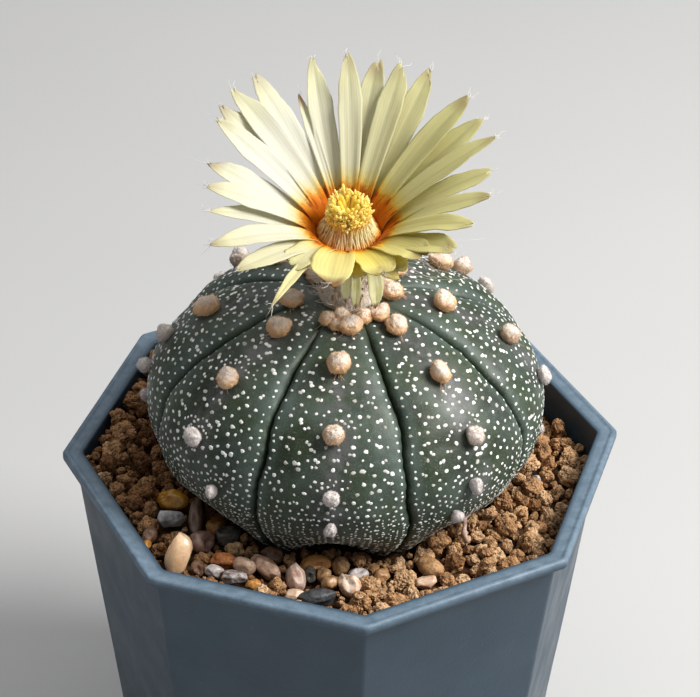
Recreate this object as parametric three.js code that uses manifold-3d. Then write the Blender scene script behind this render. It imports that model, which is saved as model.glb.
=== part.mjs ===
// Potted star cactus: a squat eight-ribbed cactus with one open flower, in an eight-sided plastic pot
// filled with baked-clay granules and pebbles.
//
// Millimetres, +Z up. The origin is the middle of the pot's underside, and one corner of the pot points
// along -Y. Azimuths are degrees counterclockwise from +X, seen from above.

import * as THREE from 'three';
import { mergeVertices } from 'three/addons/utils/BufferGeometryUtils.js';
import Module from 'manifold-3d';

const wasm = await Module();
wasm.setup();

// ---------------------------------------------------------------------------------------------------
// Driving dimensions
// ---------------------------------------------------------------------------------------------------

const GAP = 0.3; // clearance between pieces that touch

// Pot. Corner radii are measured from the axis to the sharp corner of the octagon.
const POT_SIDES = 8;
const POT_HEIGHT = 90;
const POT_CORNER_ROUNDING = 1.6;
const RIM_CORNER_RADIUS = 54.1;
const RIM_RIDGE_RADIUS = 53.2;
const RIM_INNER_RADIUS = 50.1;
const RIM_LIP_HEIGHT = 2;
const RIM_BEVEL = 0.8;
const WALL_TOP_RADIUS = 51.8;
const WALL_BOTTOM_RADIUS = 42.4;
const WALL_THICKNESS = 1.7;
const FOOT_RING_WIDTH = 4;
const FOOT_RECESS = 1.2;
const FLOOR_THICKNESS = 2.4;
const DRAIN_HOLE_RADIUS = 3.5;
const DRAIN_HOLE_RING_RADIUS = 24;
const DRAIN_HOLES_IN_RING = 4;

// Potting mix. Levels are relative to the rim of the pot.
const MIX_LEVEL = -5.1;
const MIX_TILT = 2.7;
const MIX_LOW_AZIMUTH = 5;
const MIX_RIPPLE = 0.5;
const MIX_RIPPLE_LENGTHS = [5, 6];
const MIX_RING_RADII = [60, 47, 39, 30, 14];
const MIX_RING_SIDES = 24;
const MIX_LOWEST_CUT = 105; // polar angle where the seat of the stem starts
const MIX_WIDE_CUT = [96, 4]; // polar angle, and how far the seat opens there
const GRANULE_COUNT = 74;
const GRANULE_RADIUS = [2.4, 3.5];
const GRANULE_SPACING = 0.86;
const GRANULE_SHAPE = [1, 0.95, 0.85];
const GRANULE_UNEVENNESS = 0.14;
const GRANULE_OUTER_SHARE = 0.94; // of the rim's inner radius
const GRANULE_RISE = 0.22;
const GRANULE_INNER_RADIUS = 31; // from the middle of the stem
const BED_DROP = 1; // from the level down to the packed mix between the granules

// Cactus stem: two half ellipsoids that share an equator, with a furrow between each pair of ribs.
const STEM_CENTRE_X = 0.5;
const STEM_EQUATOR_HEIGHT = 11.5; // above the rim
const STEM_RADIUS = 38;
const STEM_UPPER_HEIGHT = 23.9;
const STEM_LOWER_HEIGHT = 27.4;
const RIB_COUNT = 8;
const FIRST_RIB_AZIMUTH = 261.5;
const FURROW_DEPTH = 3.2;
const FURROW_SPAN = [5, 34]; // polar angles where it starts and is at its deepest
const FURROW_HALF_WIDTH = 0.15; // share of half a rib
const SHOULDER_ROLL = 1;
const SHOULDER_SPAN = [10, 40];
const LOW_VALLEY_DEPTH = 3.4;
const LOW_VALLEY_HALF_WIDTH = 0.85; // share of half a rib
const LOW_VALLEY_SPAN = [96, 126];
const CROWN_DIP = 1.8;
const CROWN_DIP_RADIUS = 7;
const ROOT = [[2.5, -38], [6, -24], [9.5, -15.5]]; // radius, height relative to the rim
const STEM_POLARS = [150, 136, 124, 114, 105, 96, 87, 78, 69, 60, 51, 42, 33, 24, 15, 8];

// Woolly areoles. One list for each rib, from the first rib on: degrees down from the crown.
const AREOLES = [
  [31, 55, 79, 94],
  [21, 41, 65, 85, 97],
  [13, 28, 52, 75, 103],
  [18, 38, 50, 70, 90],
  [17, 34, 54, 76, 92],
  [15, 30, 55, 74, 91],
  [42, 62, 80, 96],
  [25, 47, 72, 90],
];
const AREOLE_RADIUS = 2.3;
const AREOLE_SMALLEST_RADIUS = 1.2;
const AREOLE_FLATNESS = 0.85;
const AREOLE_SINK = 0.35;
const AREOLE_EMBEDDING = 0.4;
const AREOLE_UNEVENNESS = 0.08;

// Tufts round the foot of the flower, one row each: azimuth, degrees down from the crown, radius.
const CROWN_TUFTS = [
  [246, 14.5, 1.9],
  [268, 17, 2.2],
  [304, 14, 2.2],
  [20, 11.5, 1.7],
  [80, 11.5, 1.9],
  [140, 11.5, 1.8],
  [190, 16, 2.2],
];

// Flower. Its own axis leans towards the front; heights along it start at the crown.
const FLOWER_LEAN = 12;
const FLOWER_LEAN_AZIMUTH = 265;
const FLOWER_TURN = -5; // about its own axis
const FLOWER_X = 0.5;
const FLOWER_HEIGHT = 34; // above the rim
const TUBE_LENGTH = 12;
const TUBE_SINK = 1.4;
const TUBE_BASE_RADIUS = 4.3;
const TUBE_TOP_RADIUS = 5.7;
const TUBE_SIDES = 12;
const TUBE_WAIST_HEIGHT = 6;
const TUBE_SCALE_ROWS = 3;
const TUBE_SCALES_IN_ROW = 5;
const TUBE_SCALE_LENGTH = 4;
const TUBE_SCALE_FIRST_HEIGHT = 2.6;
const TUBE_SCALE_ROW_STEP = 2.4;
const TUBE_SCALE_RADII = [0.95, 0.15]; // at the foot and at the tip
const TUBE_SCALE_SINK = 0.6;
const TUBE_SCALE_SPREAD = 1.1;
const TUBE_FLARE = 0.08; // how much wider the scales stand for each millimetre up the tube
const CUP_BOTTOM = TUBE_LENGTH + GAP;
const CUP_FLOOR = CUP_BOTTOM + 1;
const CUP_RIM = 18.8;
const CUP_RIM_RADIUS = 8;
const CUP_WALL = 1;
const CUP_BELLY_HEIGHT = 15.8;
const CUP_BELLY_RADIUS = 7;
const PETAL_LAYERS = [[7.2, 17.7], [6.8, 18.7]]; // root radius and height, outer layer first
const PETAL_THICKNESS = 0.66;
const PETAL_WIDTH = 4.8;
const PETAL_ROOT_WIDTH = 3.2;
const PETAL_WIDEST = 0.55; // share of the length
const PETAL_TIP_SHARE = 0.16; // of the full width
const PETAL_CHANNEL = 0.16; // depth as a share of half the width
const PETAL_START_RISE = 48;
const HANGING_START_RISE = -40;
const PETAL_BEND = 0.7; // below 1, most of the bend is near the root
const PETAL_SEGMENTS = 5;

// Petals, one row each: azimuth round the flower, counted from its right-hand side; length; how steeply
// the tip rises from the flower's plane; share of the full width.
const PETALS = [
  [8, 21.5, 21, 1.0],
  [19, 25, 23, 1.05],
  [31, 25, 25, 1.1],
  [41, 26, 26, 1.1],
  [59, 27, 26, 1.1],
  [69, 25.5, 30, 1.05],
  [81, 26, 32, 1.05],
  [89, 26.5, 32, 1.0],
  [106, 27, 27, 1.05],
  [114, 20.5, 22, 0.5],
  [126, 27, 26, 1.15],
  [137, 26.5, 21, 1.15],
  [144, 25.5, 24, 1.15],
  [154, 24.5, 23, 1.2],
  [172, 21.5, 23, 1.1],
  [186, 21.5, 21, 1.1],
  [194, 21.5, 16, 1.0],
  [214, 23.5, 7, 1.1],
  [226, 21.5, 4, 1.1],
  [237, 12.5, 5, 1.25],
  [242, 23.5, -6, 0.45],
  [259, 15.5, 5, 1.1],
  [273, 11.5, 8, 1.15],
  [287, 11.5, 8, 1.1],
  [299, 11.5, 6, 1.2],
  [313, 14, 15, 1.3],
  [321, 19.5, 21, 1.15],
  [334, 21, 23, 1.1],
  [355, 21, 23, 1.0],
];

// Withered outer petals that hang along the tube, with the same columns.
const HANGING_PETALS = [
  [268, 9.5, -95, 0.4],
  [279, 11, -95, 0.45],
  [299, 11.5, -92, 0.7],
];

// Stamens and pistil, in the flower's own frame: radius and height. The core is the packed mass of
// filaments, and each row of free ones has a foot, a tip and a count.
const STAMEN_CORE = [
  [2.1, CUP_FLOOR + GAP],
  [4.7, CUP_FLOOR + GAP],
  [5.3, 16.2],
  [5, 17.6],
  [4.3, 19.4],
  [3.7, 21.2],
  [3.2, 22.6],
  [2.7, 23.5],
  [2.1, 23.1],
];
const STAMEN_CORE_SIDES = 14;
const FILAMENT_ROWS = [[4.5, 18.6, 3.7, 21.2, 16], [3.8, 20.6, 3.3, 22.7, 13], [3.1, 22.3, 2.6, 24.3, 9]];
const FILAMENT_SINK = 0.35;
const ANTHER_SCATTER = [0.3, 0.8]; // across and along
const FILAMENT_RADIUS = 0.34;
const ANTHER_RADIUS = 0.52;
const STYLE_RADIUS = 1;
const STYLE_FOOT_RADIUS = 1.3;
const STYLE_TOP = 20.2;
const STYLE_SIDES = 8;
const STIGMA_LOBES = 8;
const STIGMA_LENGTH = 5;
const STIGMA_SPREAD = 12;
const STIGMA_FOOT = [0.55, STYLE_TOP - 0.8];
const STIGMA_RADII = [0.48, 0.32]; // at the foot and at the tip

// Loose pebbles, one row each: name, place (x, y), half sizes (long, wide, high), turn about the
// vertical, lean of the long axis, and colour.
const PEBBLES = [
  ['amber', -33.4, -13.6, 3.4, 2.2, 1.9, -22, 8, 0xb98a3a],
  ['quartz', -33.9, -19.4, 3.1, 2.1, 1.9, 4, -8, 0xb9b6b8],
  ['tall_cream', -32.4, -30.6, 4.4, 2.6, 2.5, 60, 60, 0xd8bd94],
  ['long_brown', -28.9, -18.3, 4.5, 1.4, 1.4, 84, 22, 0x7a5f4c],
  ['round_amber', -25.4, -21.2, 2.3, 1.8, 1.9, 70, 30, 0xa6762f],
  ['pink', -28.3, -25.9, 2.4, 2.3, 2.2, 0, 0, 0x8f7a74],
  ['rust', -24.4, -31.4, 2.5, 1.7, 1.7, -6, 0, 0x9a5c30],
  ['long_pink', -16.6, -33.3, 3.7, 1.8, 1.9, -50, -10, 0xb48d78],
  ['striped_orange', -7.4, -31.9, 2.7, 2.0, 1.9, 10, 6, 0xb9783c],
  ['rose', -11.4, -36.3, 2.3, 1.9, 2.9, -70, 10, 0xb99a8a],
  ['small_tan', -2.7, -32.4, 1.7, 1.8, 1.9, 0, 0, 0xb48a5c],
  ['cream', -1.6, -38.0, 2.8, 1.9, 2.0, -58, -12, 0xdcc0a0],
  ['black', -7.8, -41.0, 3.6, 1.9, 1.8, 4, 0, 0x34363a],
  ['long_tan', 13.8, -33.2, 2.8, 2.1, 1.9, -38, 0, 0xa67a4c],
];
const PEBBLE_SINK = 0.25; // share of the height that sits below the level of the mix
const PEBBLE_UNEVENNESS = 0.05;
const PEBBLE_SEED = 100;

// ---------------------------------------------------------------------------------------------------
// Helpers
// ---------------------------------------------------------------------------------------------------

const FULL_TURN = 360;

function radians(degrees) {
  return THREE.MathUtils.degToRad(degrees);
}

function polar(radius, azimuth, height) {
  return new THREE.Vector3(radius * Math.cos(radians(azimuth)), radius * Math.sin(radians(azimuth)), height);
}

// A repeatable stream of numbers from 0 to 1.
function seededDraw(seed) {
  let state = seed;
  return () => {
    state = (state + 0x6d2b79f5) | 0;
    let mixed = Math.imul(state ^ (state >>> 15), 1 | state);
    mixed = (mixed + Math.imul(mixed ^ (mixed >>> 7), 61 | mixed)) ^ mixed;
    return ((mixed ^ (mixed >>> 14)) >>> 0) / 2 ** 32;
  };
}

// Skins a stack of rings into one closed surface. Every ring has the same number of points, runs
// counterclockwise seen from where the stack is heading, and each end is closed with a fan.
function loft(rings) {
  const count = rings[0].length;
  const points = rings.flat();
  const faces = [];
  for (let row = 0; row + 1 < rings.length; row += 1) {
    for (let column = 0; column < count; column += 1) {
      const here = row * count + column;
      const next = row * count + ((column + 1) % count);
      faces.push(here, next, next + count, here, next + count, here + count);
    }
  }
  const firstMiddle = points.length;
  const lastMiddle = firstMiddle + 1;
  const lastRing = (rings.length - 1) * count;
  for (let column = 0; column < count; column += 1) {
    const next = (column + 1) % count;
    faces.push(firstMiddle, next, column, lastMiddle, lastRing + column, lastRing + next);
  }
  points.push(middleOf(rings[0]), middleOf(rings.at(-1)));
  const geometry = new THREE.BufferGeometry().setFromPoints(points);
  geometry.setIndex(faces);
  return geometry;
}

function middleOf(ring) {
  const sum = ring.reduce((total, point) => total.add(point), new THREE.Vector3());
  return sum.divideScalar(ring.length);
}

// A closed geometry as a solid that can be joined and cut.
function solidOf(geometry) {
  const bare = geometry.clone();
  bare.deleteAttribute('normal');
  bare.deleteAttribute('uv');
  const merged = mergeVertices(bare);
  return new wasm.Manifold(new wasm.Mesh({
    numProp: 3,
    vertProperties: new Float32Array(merged.attributes.position.array),
    triVerts: new Uint32Array(merged.index.array),
  }));
}

// A solid back as a geometry. Only its largest shell stays: joining can seal a small hollow, and cutting
// can leave a loose scrap.
function geometryOf(solid) {
  const mesh = solid.getMesh();
  const corners = mesh.triVerts;
  const positions = mesh.vertProperties;
  const parent = Array.from({ length: positions.length / 3 }, (_, index) => index);
  const rootOf = (index) => {
    while (parent[index] !== index) {
      parent[index] = parent[parent[index]];
      index = parent[index];
    }
    return index;
  };
  for (let start = 0; start < corners.length; start += 3) {
    parent[rootOf(corners[start])] = rootOf(corners[start + 1]);
    parent[rootOf(corners[start + 1])] = rootOf(corners[start + 2]);
  }
  const volumes = new Map();
  const point = (corner) => new THREE.Vector3().fromArray(positions, corner * 3);
  for (let start = 0; start < corners.length; start += 3) {
    const shell = rootOf(corners[start]);
    const [a, b, c] = [point(corners[start]), point(corners[start + 1]), point(corners[start + 2])];
    volumes.set(shell, (volumes.get(shell) ?? 0) + a.dot(b.cross(c)));
  }
  const largest = [...volumes.entries()].sort((one, other) => other[1] - one[1])[0][0];
  const kept = [];
  for (let start = 0; start < corners.length; start += 3) {
    if (rootOf(corners[start]) === largest) {
      kept.push(corners[start], corners[start + 1], corners[start + 2]);
    }
  }
  const geometry = new THREE.BufferGeometry();
  geometry.setAttribute('position', new THREE.BufferAttribute(new Float32Array(positions), 3));
  geometry.setIndex(kept);
  return geometry;
}

function joined(solids) {
  return solids.reduce((total, next) => total.add(next));
}

function pieceOf(name, geometry, color, roughness) {
  const shape = geometry.toNonIndexed();
  shape.computeVertexNormals();
  const material = new THREE.MeshStandardMaterial({ color, roughness, metalness: 0, flatShading: true });
  const mesh = new THREE.Mesh(shape, material);
  mesh.name = name;
  return mesh;
}

// A many-faced lump with uneven corners, as a closed geometry round the origin.
function lump(halfSizes, detail, unevenness, draw) {
  const ball = new THREE.IcosahedronGeometry(1, detail);
  ball.deleteAttribute('normal');
  ball.deleteAttribute('uv');
  const geometry = mergeVertices(ball);
  const position = geometry.attributes.position;
  for (let index = 0; index < position.count; index += 1) {
    const stretch = 1 + unevenness * (2 * draw() - 1);
    position.setXYZ(
      index,
      position.getX(index) * halfSizes[0] * stretch,
      position.getY(index) * halfSizes[1] * stretch,
      position.getZ(index) * halfSizes[2] * stretch,
    );
  }
  return geometry;
}

// ---------------------------------------------------------------------------------------------------
// Pot
// ---------------------------------------------------------------------------------------------------

// One level of the eight-sided pot, with each corner rounded by three points.
function potRing(cornerRadius, height, rounding = POT_CORNER_ROUNDING) {
  const ring = [];
  const halfTurn = FULL_TURN / POT_SIDES / 2;
  const setBack = rounding / Math.cos(radians(halfTurn));
  for (let corner = 0; corner < POT_SIDES; corner += 1) {
    const azimuth = -90 + (corner * FULL_TURN) / POT_SIDES;
    const centre = polar(cornerRadius - setBack, azimuth, height);
    for (const swing of [-halfTurn, 0, halfTurn]) {
      ring.push(centre.clone().add(polar(rounding, azimuth + swing, 0)));
    }
  }
  return ring;
}

function wallRadius(height) {
  const share = height / (POT_HEIGHT - RIM_LIP_HEIGHT);
  return THREE.MathUtils.lerp(WALL_BOTTOM_RADIUS, WALL_TOP_RADIUS, share);
}

function innerRadius(height) {
  return wallRadius(height) - WALL_THICKNESS;
}

function makePot() {
  const floor = FOOT_RECESS + FLOOR_THICKNESS;
  const lip = POT_HEIGHT - RIM_LIP_HEIGHT;
  const footInside = WALL_BOTTOM_RADIUS - FOOT_RING_WIDTH;
  const shell = loft([
    potRing(footInside - FOOT_RECESS, FOOT_RECESS),
    potRing(footInside, 0),
    potRing(WALL_BOTTOM_RADIUS - RIM_BEVEL, 0),
    potRing(wallRadius(RIM_BEVEL), RIM_BEVEL),
    potRing(WALL_TOP_RADIUS, lip),
    potRing(RIM_CORNER_RADIUS - RIM_BEVEL / 2, lip),
    potRing(RIM_CORNER_RADIUS, lip + RIM_BEVEL / 2),
    potRing(RIM_CORNER_RADIUS, POT_HEIGHT - RIM_BEVEL),
    potRing(RIM_RIDGE_RADIUS, POT_HEIGHT),
    potRing(RIM_INNER_RADIUS + RIM_BEVEL / 2, POT_HEIGHT),
    potRing(RIM_INNER_RADIUS, POT_HEIGHT - RIM_BEVEL / 2),
    potRing(innerRadius(floor + RIM_BEVEL), floor + RIM_BEVEL),
    potRing(innerRadius(floor) - RIM_BEVEL, floor),
  ]);
  const holes = [new THREE.Vector3()];
  for (let hole = 0; hole < DRAIN_HOLES_IN_RING; hole += 1) {
    holes.push(polar(DRAIN_HOLE_RING_RADIUS, (hole * FULL_TURN) / DRAIN_HOLES_IN_RING, 0));
  }
  let pot = solidOf(shell);
  for (const place of holes) {
    const drill = new THREE.CylinderGeometry(DRAIN_HOLE_RADIUS, DRAIN_HOLE_RADIUS, 2 * floor + 2, 10);
    drill.rotateX(Math.PI / 2);
    drill.translate(place.x, place.y, 0);
    pot = pot.subtract(solidOf(drill));
  }
  return pot;
}

// ---------------------------------------------------------------------------------------------------
// Cactus stem
// ---------------------------------------------------------------------------------------------------

function smooth(value, from, to) {
  return THREE.MathUtils.smoothstep(value, from, to);
}

// Where an azimuth lies across its rib: 0 on the crest, 1 or -1 in a furrow.
function acrossRib(azimuth) {
  const ribWidth = FULL_TURN / RIB_COUNT;
  const turned = (azimuth - FIRST_RIB_AZIMUTH) / ribWidth;
  return 2 * (turned - Math.round(turned));
}

// How far the surface stands out of the plain ellipsoid.
function ribRelief(across, polarAngle) {
  const side = Math.abs(across);
  const crease = Math.max(0, 1 - (1 - side) / FURROW_HALF_WIDTH);
  const furrow = FURROW_DEPTH * smooth(polarAngle, ...FURROW_SPAN) * crease;
  const roll = SHOULDER_ROLL * smooth(polarAngle, ...SHOULDER_SPAN) * side ** 4;
  const bowl = Math.max(0, 1 - (side / LOW_VALLEY_HALF_WIDTH) ** 2);
  const valley = LOW_VALLEY_DEPTH * smooth(polarAngle, ...LOW_VALLEY_SPAN) * bowl;
  return -(furrow + roll + valley);
}

// A point on the stem's skin, and `grow` outside it.
function stemPoint(azimuth, polarAngle, across, grow = 0) {
  const lift = Math.cos(radians(polarAngle));
  const spread = Math.sin(radians(polarAngle));
  const halfHeight = lift > 0 ? STEM_UPPER_HEIGHT : STEM_LOWER_HEIGHT;
  const outward = new THREE.Vector2(spread / STEM_RADIUS, lift / halfHeight).normalize();
  const radius = STEM_RADIUS * spread;
  const relief = ribRelief(across, polarAngle) + grow;
  const dip = polarAngle < 90 ? CROWN_DIP * Math.exp(-((radius / CROWN_DIP_RADIUS) ** 2)) : 0;
  const height = POT_HEIGHT + STEM_EQUATOR_HEIGHT + halfHeight * lift - dip;
  const point = polar(radius + outward.x * relief, azimuth, height + outward.y * relief);
  point.x += STEM_CENTRE_X;
  return point;
}

const RIB_COLUMNS = [-1, -1 + FURROW_HALF_WIDTH, -0.5, 0, 0.5, 1 - FURROW_HALF_WIDTH];

function stemRing(polarAngle, grow) {
  const ring = [];
  const halfRib = FULL_TURN / RIB_COUNT / 2;
  for (let rib = 0; rib < RIB_COUNT; rib += 1) {
    const crest = FIRST_RIB_AZIMUTH + rib * 2 * halfRib;
    for (const across of RIB_COLUMNS) {
      ring.push(stemPoint(crest + across * halfRib, polarAngle, across, grow));
    }
  }
  return ring;
}

function rootRing([radius, level], grow) {
  const count = RIB_COUNT * RIB_COLUMNS.length;
  const ring = [];
  const start = FIRST_RIB_AZIMUTH - FULL_TURN / RIB_COUNT / 2;
  for (let step = 0; step < count; step += 1) {
    const point = polar(radius + grow, start + (step * FULL_TURN) / count, POT_HEIGHT + level);
    point.x += STEM_CENTRE_X;
    ring.push(point);
  }
  return ring;
}

// The skin's rings from the root up to the highest polar angle asked for.
function stemRings(grow, highestPolar) {
  const root = ROOT.map(([radius, level], index) => rootRing([radius, index ? level : level - grow], grow));
  const skin = STEM_POLARS.filter((angle) => angle >= highestPolar).map((angle) => stemRing(angle, grow));
  return [...root, ...skin];
}

function areoleRadius(polarAngle) {
  const share = smooth(polarAngle, 30, 100);
  return THREE.MathUtils.lerp(AREOLE_RADIUS, AREOLE_SMALLEST_RADIUS, share);
}

function makeStem(flowerMatrix) {
  const draw = seededDraw(11);
  const solids = [solidOf(loft(stemRings(0, 0)))];
  const addTuft = (azimuth, polarAngle, radius) => {
    const tuft = lump([radius, radius, radius * AREOLE_FLATNESS], 0, AREOLE_UNEVENNESS, draw);
    const rise = radius * (AREOLE_FLATNESS - AREOLE_SINK) - AREOLE_EMBEDDING;
    const foot = stemPoint(azimuth, polarAngle, 0, rise);
    tuft.rotateZ(draw() * Math.PI);
    tuft.translate(foot.x, foot.y, foot.z);
    solids.push(solidOf(tuft));
  };
  AREOLES.forEach((angles, rib) => {
    const azimuth = FIRST_RIB_AZIMUTH + (rib * FULL_TURN) / RIB_COUNT;
    for (const angle of angles) {
      addTuft(azimuth, angle, areoleRadius(angle));
    }
  });
  for (const tuft of CROWN_TUFTS) {
    addTuft(...tuft);
  }
  const seat = loft(tubeRings(GAP).slice(0, 3));
  seat.applyMatrix4(flowerMatrix);
  return joined(solids).subtract(solidOf(seat));
}

// ---------------------------------------------------------------------------------------------------
// Potting mix and pebbles
// ---------------------------------------------------------------------------------------------------

function mixLevel(x, y) {
  const azimuth = THREE.MathUtils.radToDeg(Math.atan2(y, x));
  const share = Math.hypot(x, y) / RIM_INNER_RADIUS;
  const tilt = MIX_TILT * share * Math.cos(radians(azimuth - MIX_LOW_AZIMUTH));
  const ripple = MIX_RIPPLE * Math.sin(x / MIX_RIPPLE_LENGTHS[0]) * Math.cos(y / MIX_RIPPLE_LENGTHS[1]);
  return POT_HEIGHT + MIX_LEVEL - tilt + ripple;
}

function pebbleGeometry([, x, y, long, wide, high, turn, lean], grow, draw) {
  const halfSizes = [long + grow, wide + grow, high + grow];
  const geometry = lump(halfSizes, 1, PEBBLE_UNEVENNESS, draw);
  geometry.rotateY(radians(-lean));
  geometry.rotateZ(radians(turn));
  const reach = Math.hypot(high * Math.cos(radians(lean)), long * Math.sin(radians(lean)));
  geometry.translate(x, y, mixLevel(x, y) + reach * (1 - 2 * PEBBLE_SINK));
  return geometry;
}

// The room that the mix may fill: the inside of the pot, from just above its floor to above its rim.
function insideOfPot() {
  const floor = FOOT_RECESS + FLOOR_THICKNESS + GAP;
  const top = POT_HEIGHT + 5;
  const clear = GAP + 0.1;
  return loft([
    potRing(innerRadius(floor) - RIM_BEVEL - clear, floor),
    potRing(innerRadius(floor + RIM_BEVEL) - clear, floor + RIM_BEVEL),
    potRing(innerRadius(POT_HEIGHT - RIM_BEVEL / 2) - clear, POT_HEIGHT - RIM_BEVEL / 2),
    potRing(innerRadius(POT_HEIGHT - RIM_BEVEL / 2) - clear, top),
  ]);
}

function makeMix() {
  const draw = seededDraw(23);
  const ringAt = (radius, heightAt) => Array.from({ length: MIX_RING_SIDES }, (_, column) => {
    const point = polar(radius, (column * FULL_TURN) / MIX_RING_SIDES, 0);
    point.z = heightAt(point.x, point.y);
    return point;
  });
  const underside = ringAt(MIX_RING_RADII[0], () => 0);
  const top = MIX_RING_RADII.map((radius) => ringAt(radius, (x, y) => mixLevel(x, y) - BED_DROP));
  const solids = [solidOf(loft([underside, ...top]))];
  for (const granule of granules(draw)) {
    const halfSizes = GRANULE_SHAPE.map((share) => share * granule.radius);
    const shape = lump(halfSizes, 0, GRANULE_UNEVENNESS, draw);
    shape.rotateX(draw() * Math.PI);
    shape.rotateZ(draw() * Math.PI);
    shape.translate(granule.x, granule.y, mixLevel(granule.x, granule.y) + granule.radius * GRANULE_RISE);
    solids.push(solidOf(shape));
  }
  let mix = joined(solids).intersect(solidOf(insideOfPot()));
  mix = mix.subtract(solidOf(loft([...stemRings(GAP + 0.05, MIX_LOWEST_CUT), stemRing(...MIX_WIDE_CUT)])));
  PEBBLES.forEach((pebble, index) => {
    mix = mix.subtract(solidOf(pebbleGeometry(pebble, GAP, seededDraw(PEBBLE_SEED + index))));
  });
  return mix;
}

// Places for the granules in the ring between the stem and the wall, none too close to another.
function granules(draw) {
  const placed = PEBBLES.map(([, x, y, long, wide]) => ({ x, y, radius: (long + wide) / 2, pebble: true }));
  const reach = RIM_INNER_RADIUS;
  const tries = 6000;
  for (let attempt = 0; attempt < tries && placed.length < GRANULE_COUNT + PEBBLES.length; attempt += 1) {
    const x = reach * (2 * draw() - 1);
    const y = reach * (2 * draw() - 1);
    const radius = THREE.MathUtils.lerp(GRANULE_RADIUS[0], GRANULE_RADIUS[1], draw());
    const fromAxis = Math.hypot(x - STEM_CENTRE_X, y);
    const inRing = fromAxis > GRANULE_INNER_RADIUS && Math.hypot(x, y) < reach * GRANULE_OUTER_SHARE;
    const clear = placed.every((other) => {
      return Math.hypot(x - other.x, y - other.y) > GRANULE_SPACING * (radius + other.radius);
    });
    if (inRing && clear) {
      placed.push({ x, y, radius });
    }
  }
  return placed.filter((place) => !place.pebble);
}

// ---------------------------------------------------------------------------------------------------
// Flower
// ---------------------------------------------------------------------------------------------------

function circle(radius, height, sides) {
  return Array.from({ length: sides }, (_, side) => polar(radius, (side * FULL_TURN) / sides, height));
}

function tubeRings(grow) {
  const profile = [
    [TUBE_BASE_RADIUS, -TUBE_SINK - grow],
    [TUBE_BASE_RADIUS + 0.1, TUBE_WAIST_HEIGHT / 2],
    [TUBE_BASE_RADIUS + 0.2, TUBE_WAIST_HEIGHT],
    [TUBE_TOP_RADIUS - 0.5, (TUBE_WAIST_HEIGHT + TUBE_LENGTH) / 2],
    [TUBE_TOP_RADIUS, TUBE_LENGTH],
  ];
  return profile.map(([radius, height]) => circle(radius + grow, height, TUBE_SIDES));
}

// A narrow pointed scale that hugs the tube, as a three-sided spike.
function tubeScale(azimuth, height) {
  const foot = polar(TUBE_BASE_RADIUS - TUBE_SCALE_SINK, azimuth, height);
  const reach = TUBE_BASE_RADIUS + TUBE_SCALE_SPREAD + height * TUBE_FLARE;
  const tip = polar(reach, azimuth, height + TUBE_SCALE_LENGTH);
  return spike(foot, tip, ...TUBE_SCALE_RADII);
}

// A tapering three-sided spike between two points.
function spike(from, to, fromRadius, toRadius) {
  const along = to.clone().sub(from).normalize();
  const side = new THREE.Vector3(along.y, -along.x, 0);
  if (side.length() < 0.01) {
    side.set(1, 0, 0);
  }
  side.normalize();
  const up = along.clone().cross(side);
  const ringAt = (centre, radius) => [90, 210, 330].map((turn) => {
    const point = centre.clone().addScaledVector(side, radius * Math.cos(radians(turn)));
    return point.addScaledVector(up, radius * Math.sin(radians(turn)));
  });
  return loft([ringAt(from, fromRadius), ringAt(to, toRadius)]);
}

function makeTube() {
  const solids = [solidOf(loft(tubeRings(0)))];
  for (let row = 0; row < TUBE_SCALE_ROWS; row += 1) {
    for (let scale = 0; scale < TUBE_SCALES_IN_ROW; scale += 1) {
      const azimuth = ((scale + row / 2) * FULL_TURN) / TUBE_SCALES_IN_ROW;
      solids.push(solidOf(tubeScale(azimuth, TUBE_SCALE_FIRST_HEIGHT + row * TUBE_SCALE_ROW_STEP)));
    }
  }
  return joined(solids);
}

// Half width of a petal along its length, as a share of its widest.
function petalOutline(share) {
  if (share < PETAL_WIDEST) {
    return Math.sin((Math.PI / 2) * (share / PETAL_WIDEST));
  }
  return Math.sqrt(1 - ((share - PETAL_WIDEST) / (1 - PETAL_WIDEST)) ** 2);
}

// One petal: an arched, shallowly channelled blade that bends from its root to its tip.
function petal([azimuth, length, tipRise, widthShare], index, startRise) {
  const rings = [];
  const step = length / PETAL_SEGMENTS;
  const place = new THREE.Vector2(...PETAL_LAYERS[index % PETAL_LAYERS.length]);
  const sideways = polar(1, azimuth + 90, 0);
  for (let station = 0; station <= PETAL_SEGMENTS; station += 1) {
    const share = station / PETAL_SEGMENTS;
    const rise = THREE.MathUtils.lerp(startRise, tipRise, share ** PETAL_BEND);
    const least = THREE.MathUtils.lerp(PETAL_ROOT_WIDTH / PETAL_WIDTH, PETAL_TIP_SHARE, share);
    const half = (PETAL_WIDTH / 2) * widthShare * Math.max(least, petalOutline(share));
    const centre = polar(place.x, azimuth, place.y);
    const normal = polar(-Math.sin(radians(rise)), azimuth, Math.cos(radians(rise)));
    const channel = half * PETAL_CHANNEL;
    const at = (side, level) => {
      return centre.clone().addScaledVector(sideways, side).addScaledVector(normal, level);
    };
    const top = PETAL_THICKNESS / 2;
    rings.push([
      at(half, channel - top),
      at(half, channel + top),
      at(0, top),
      at(-half, channel + top),
      at(-half, channel - top),
      at(0, -top),
    ]);
    place.x += step * Math.cos(radians(rise));
    place.y += step * Math.sin(radians(rise));
  }
  return loft(rings);
}

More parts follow.
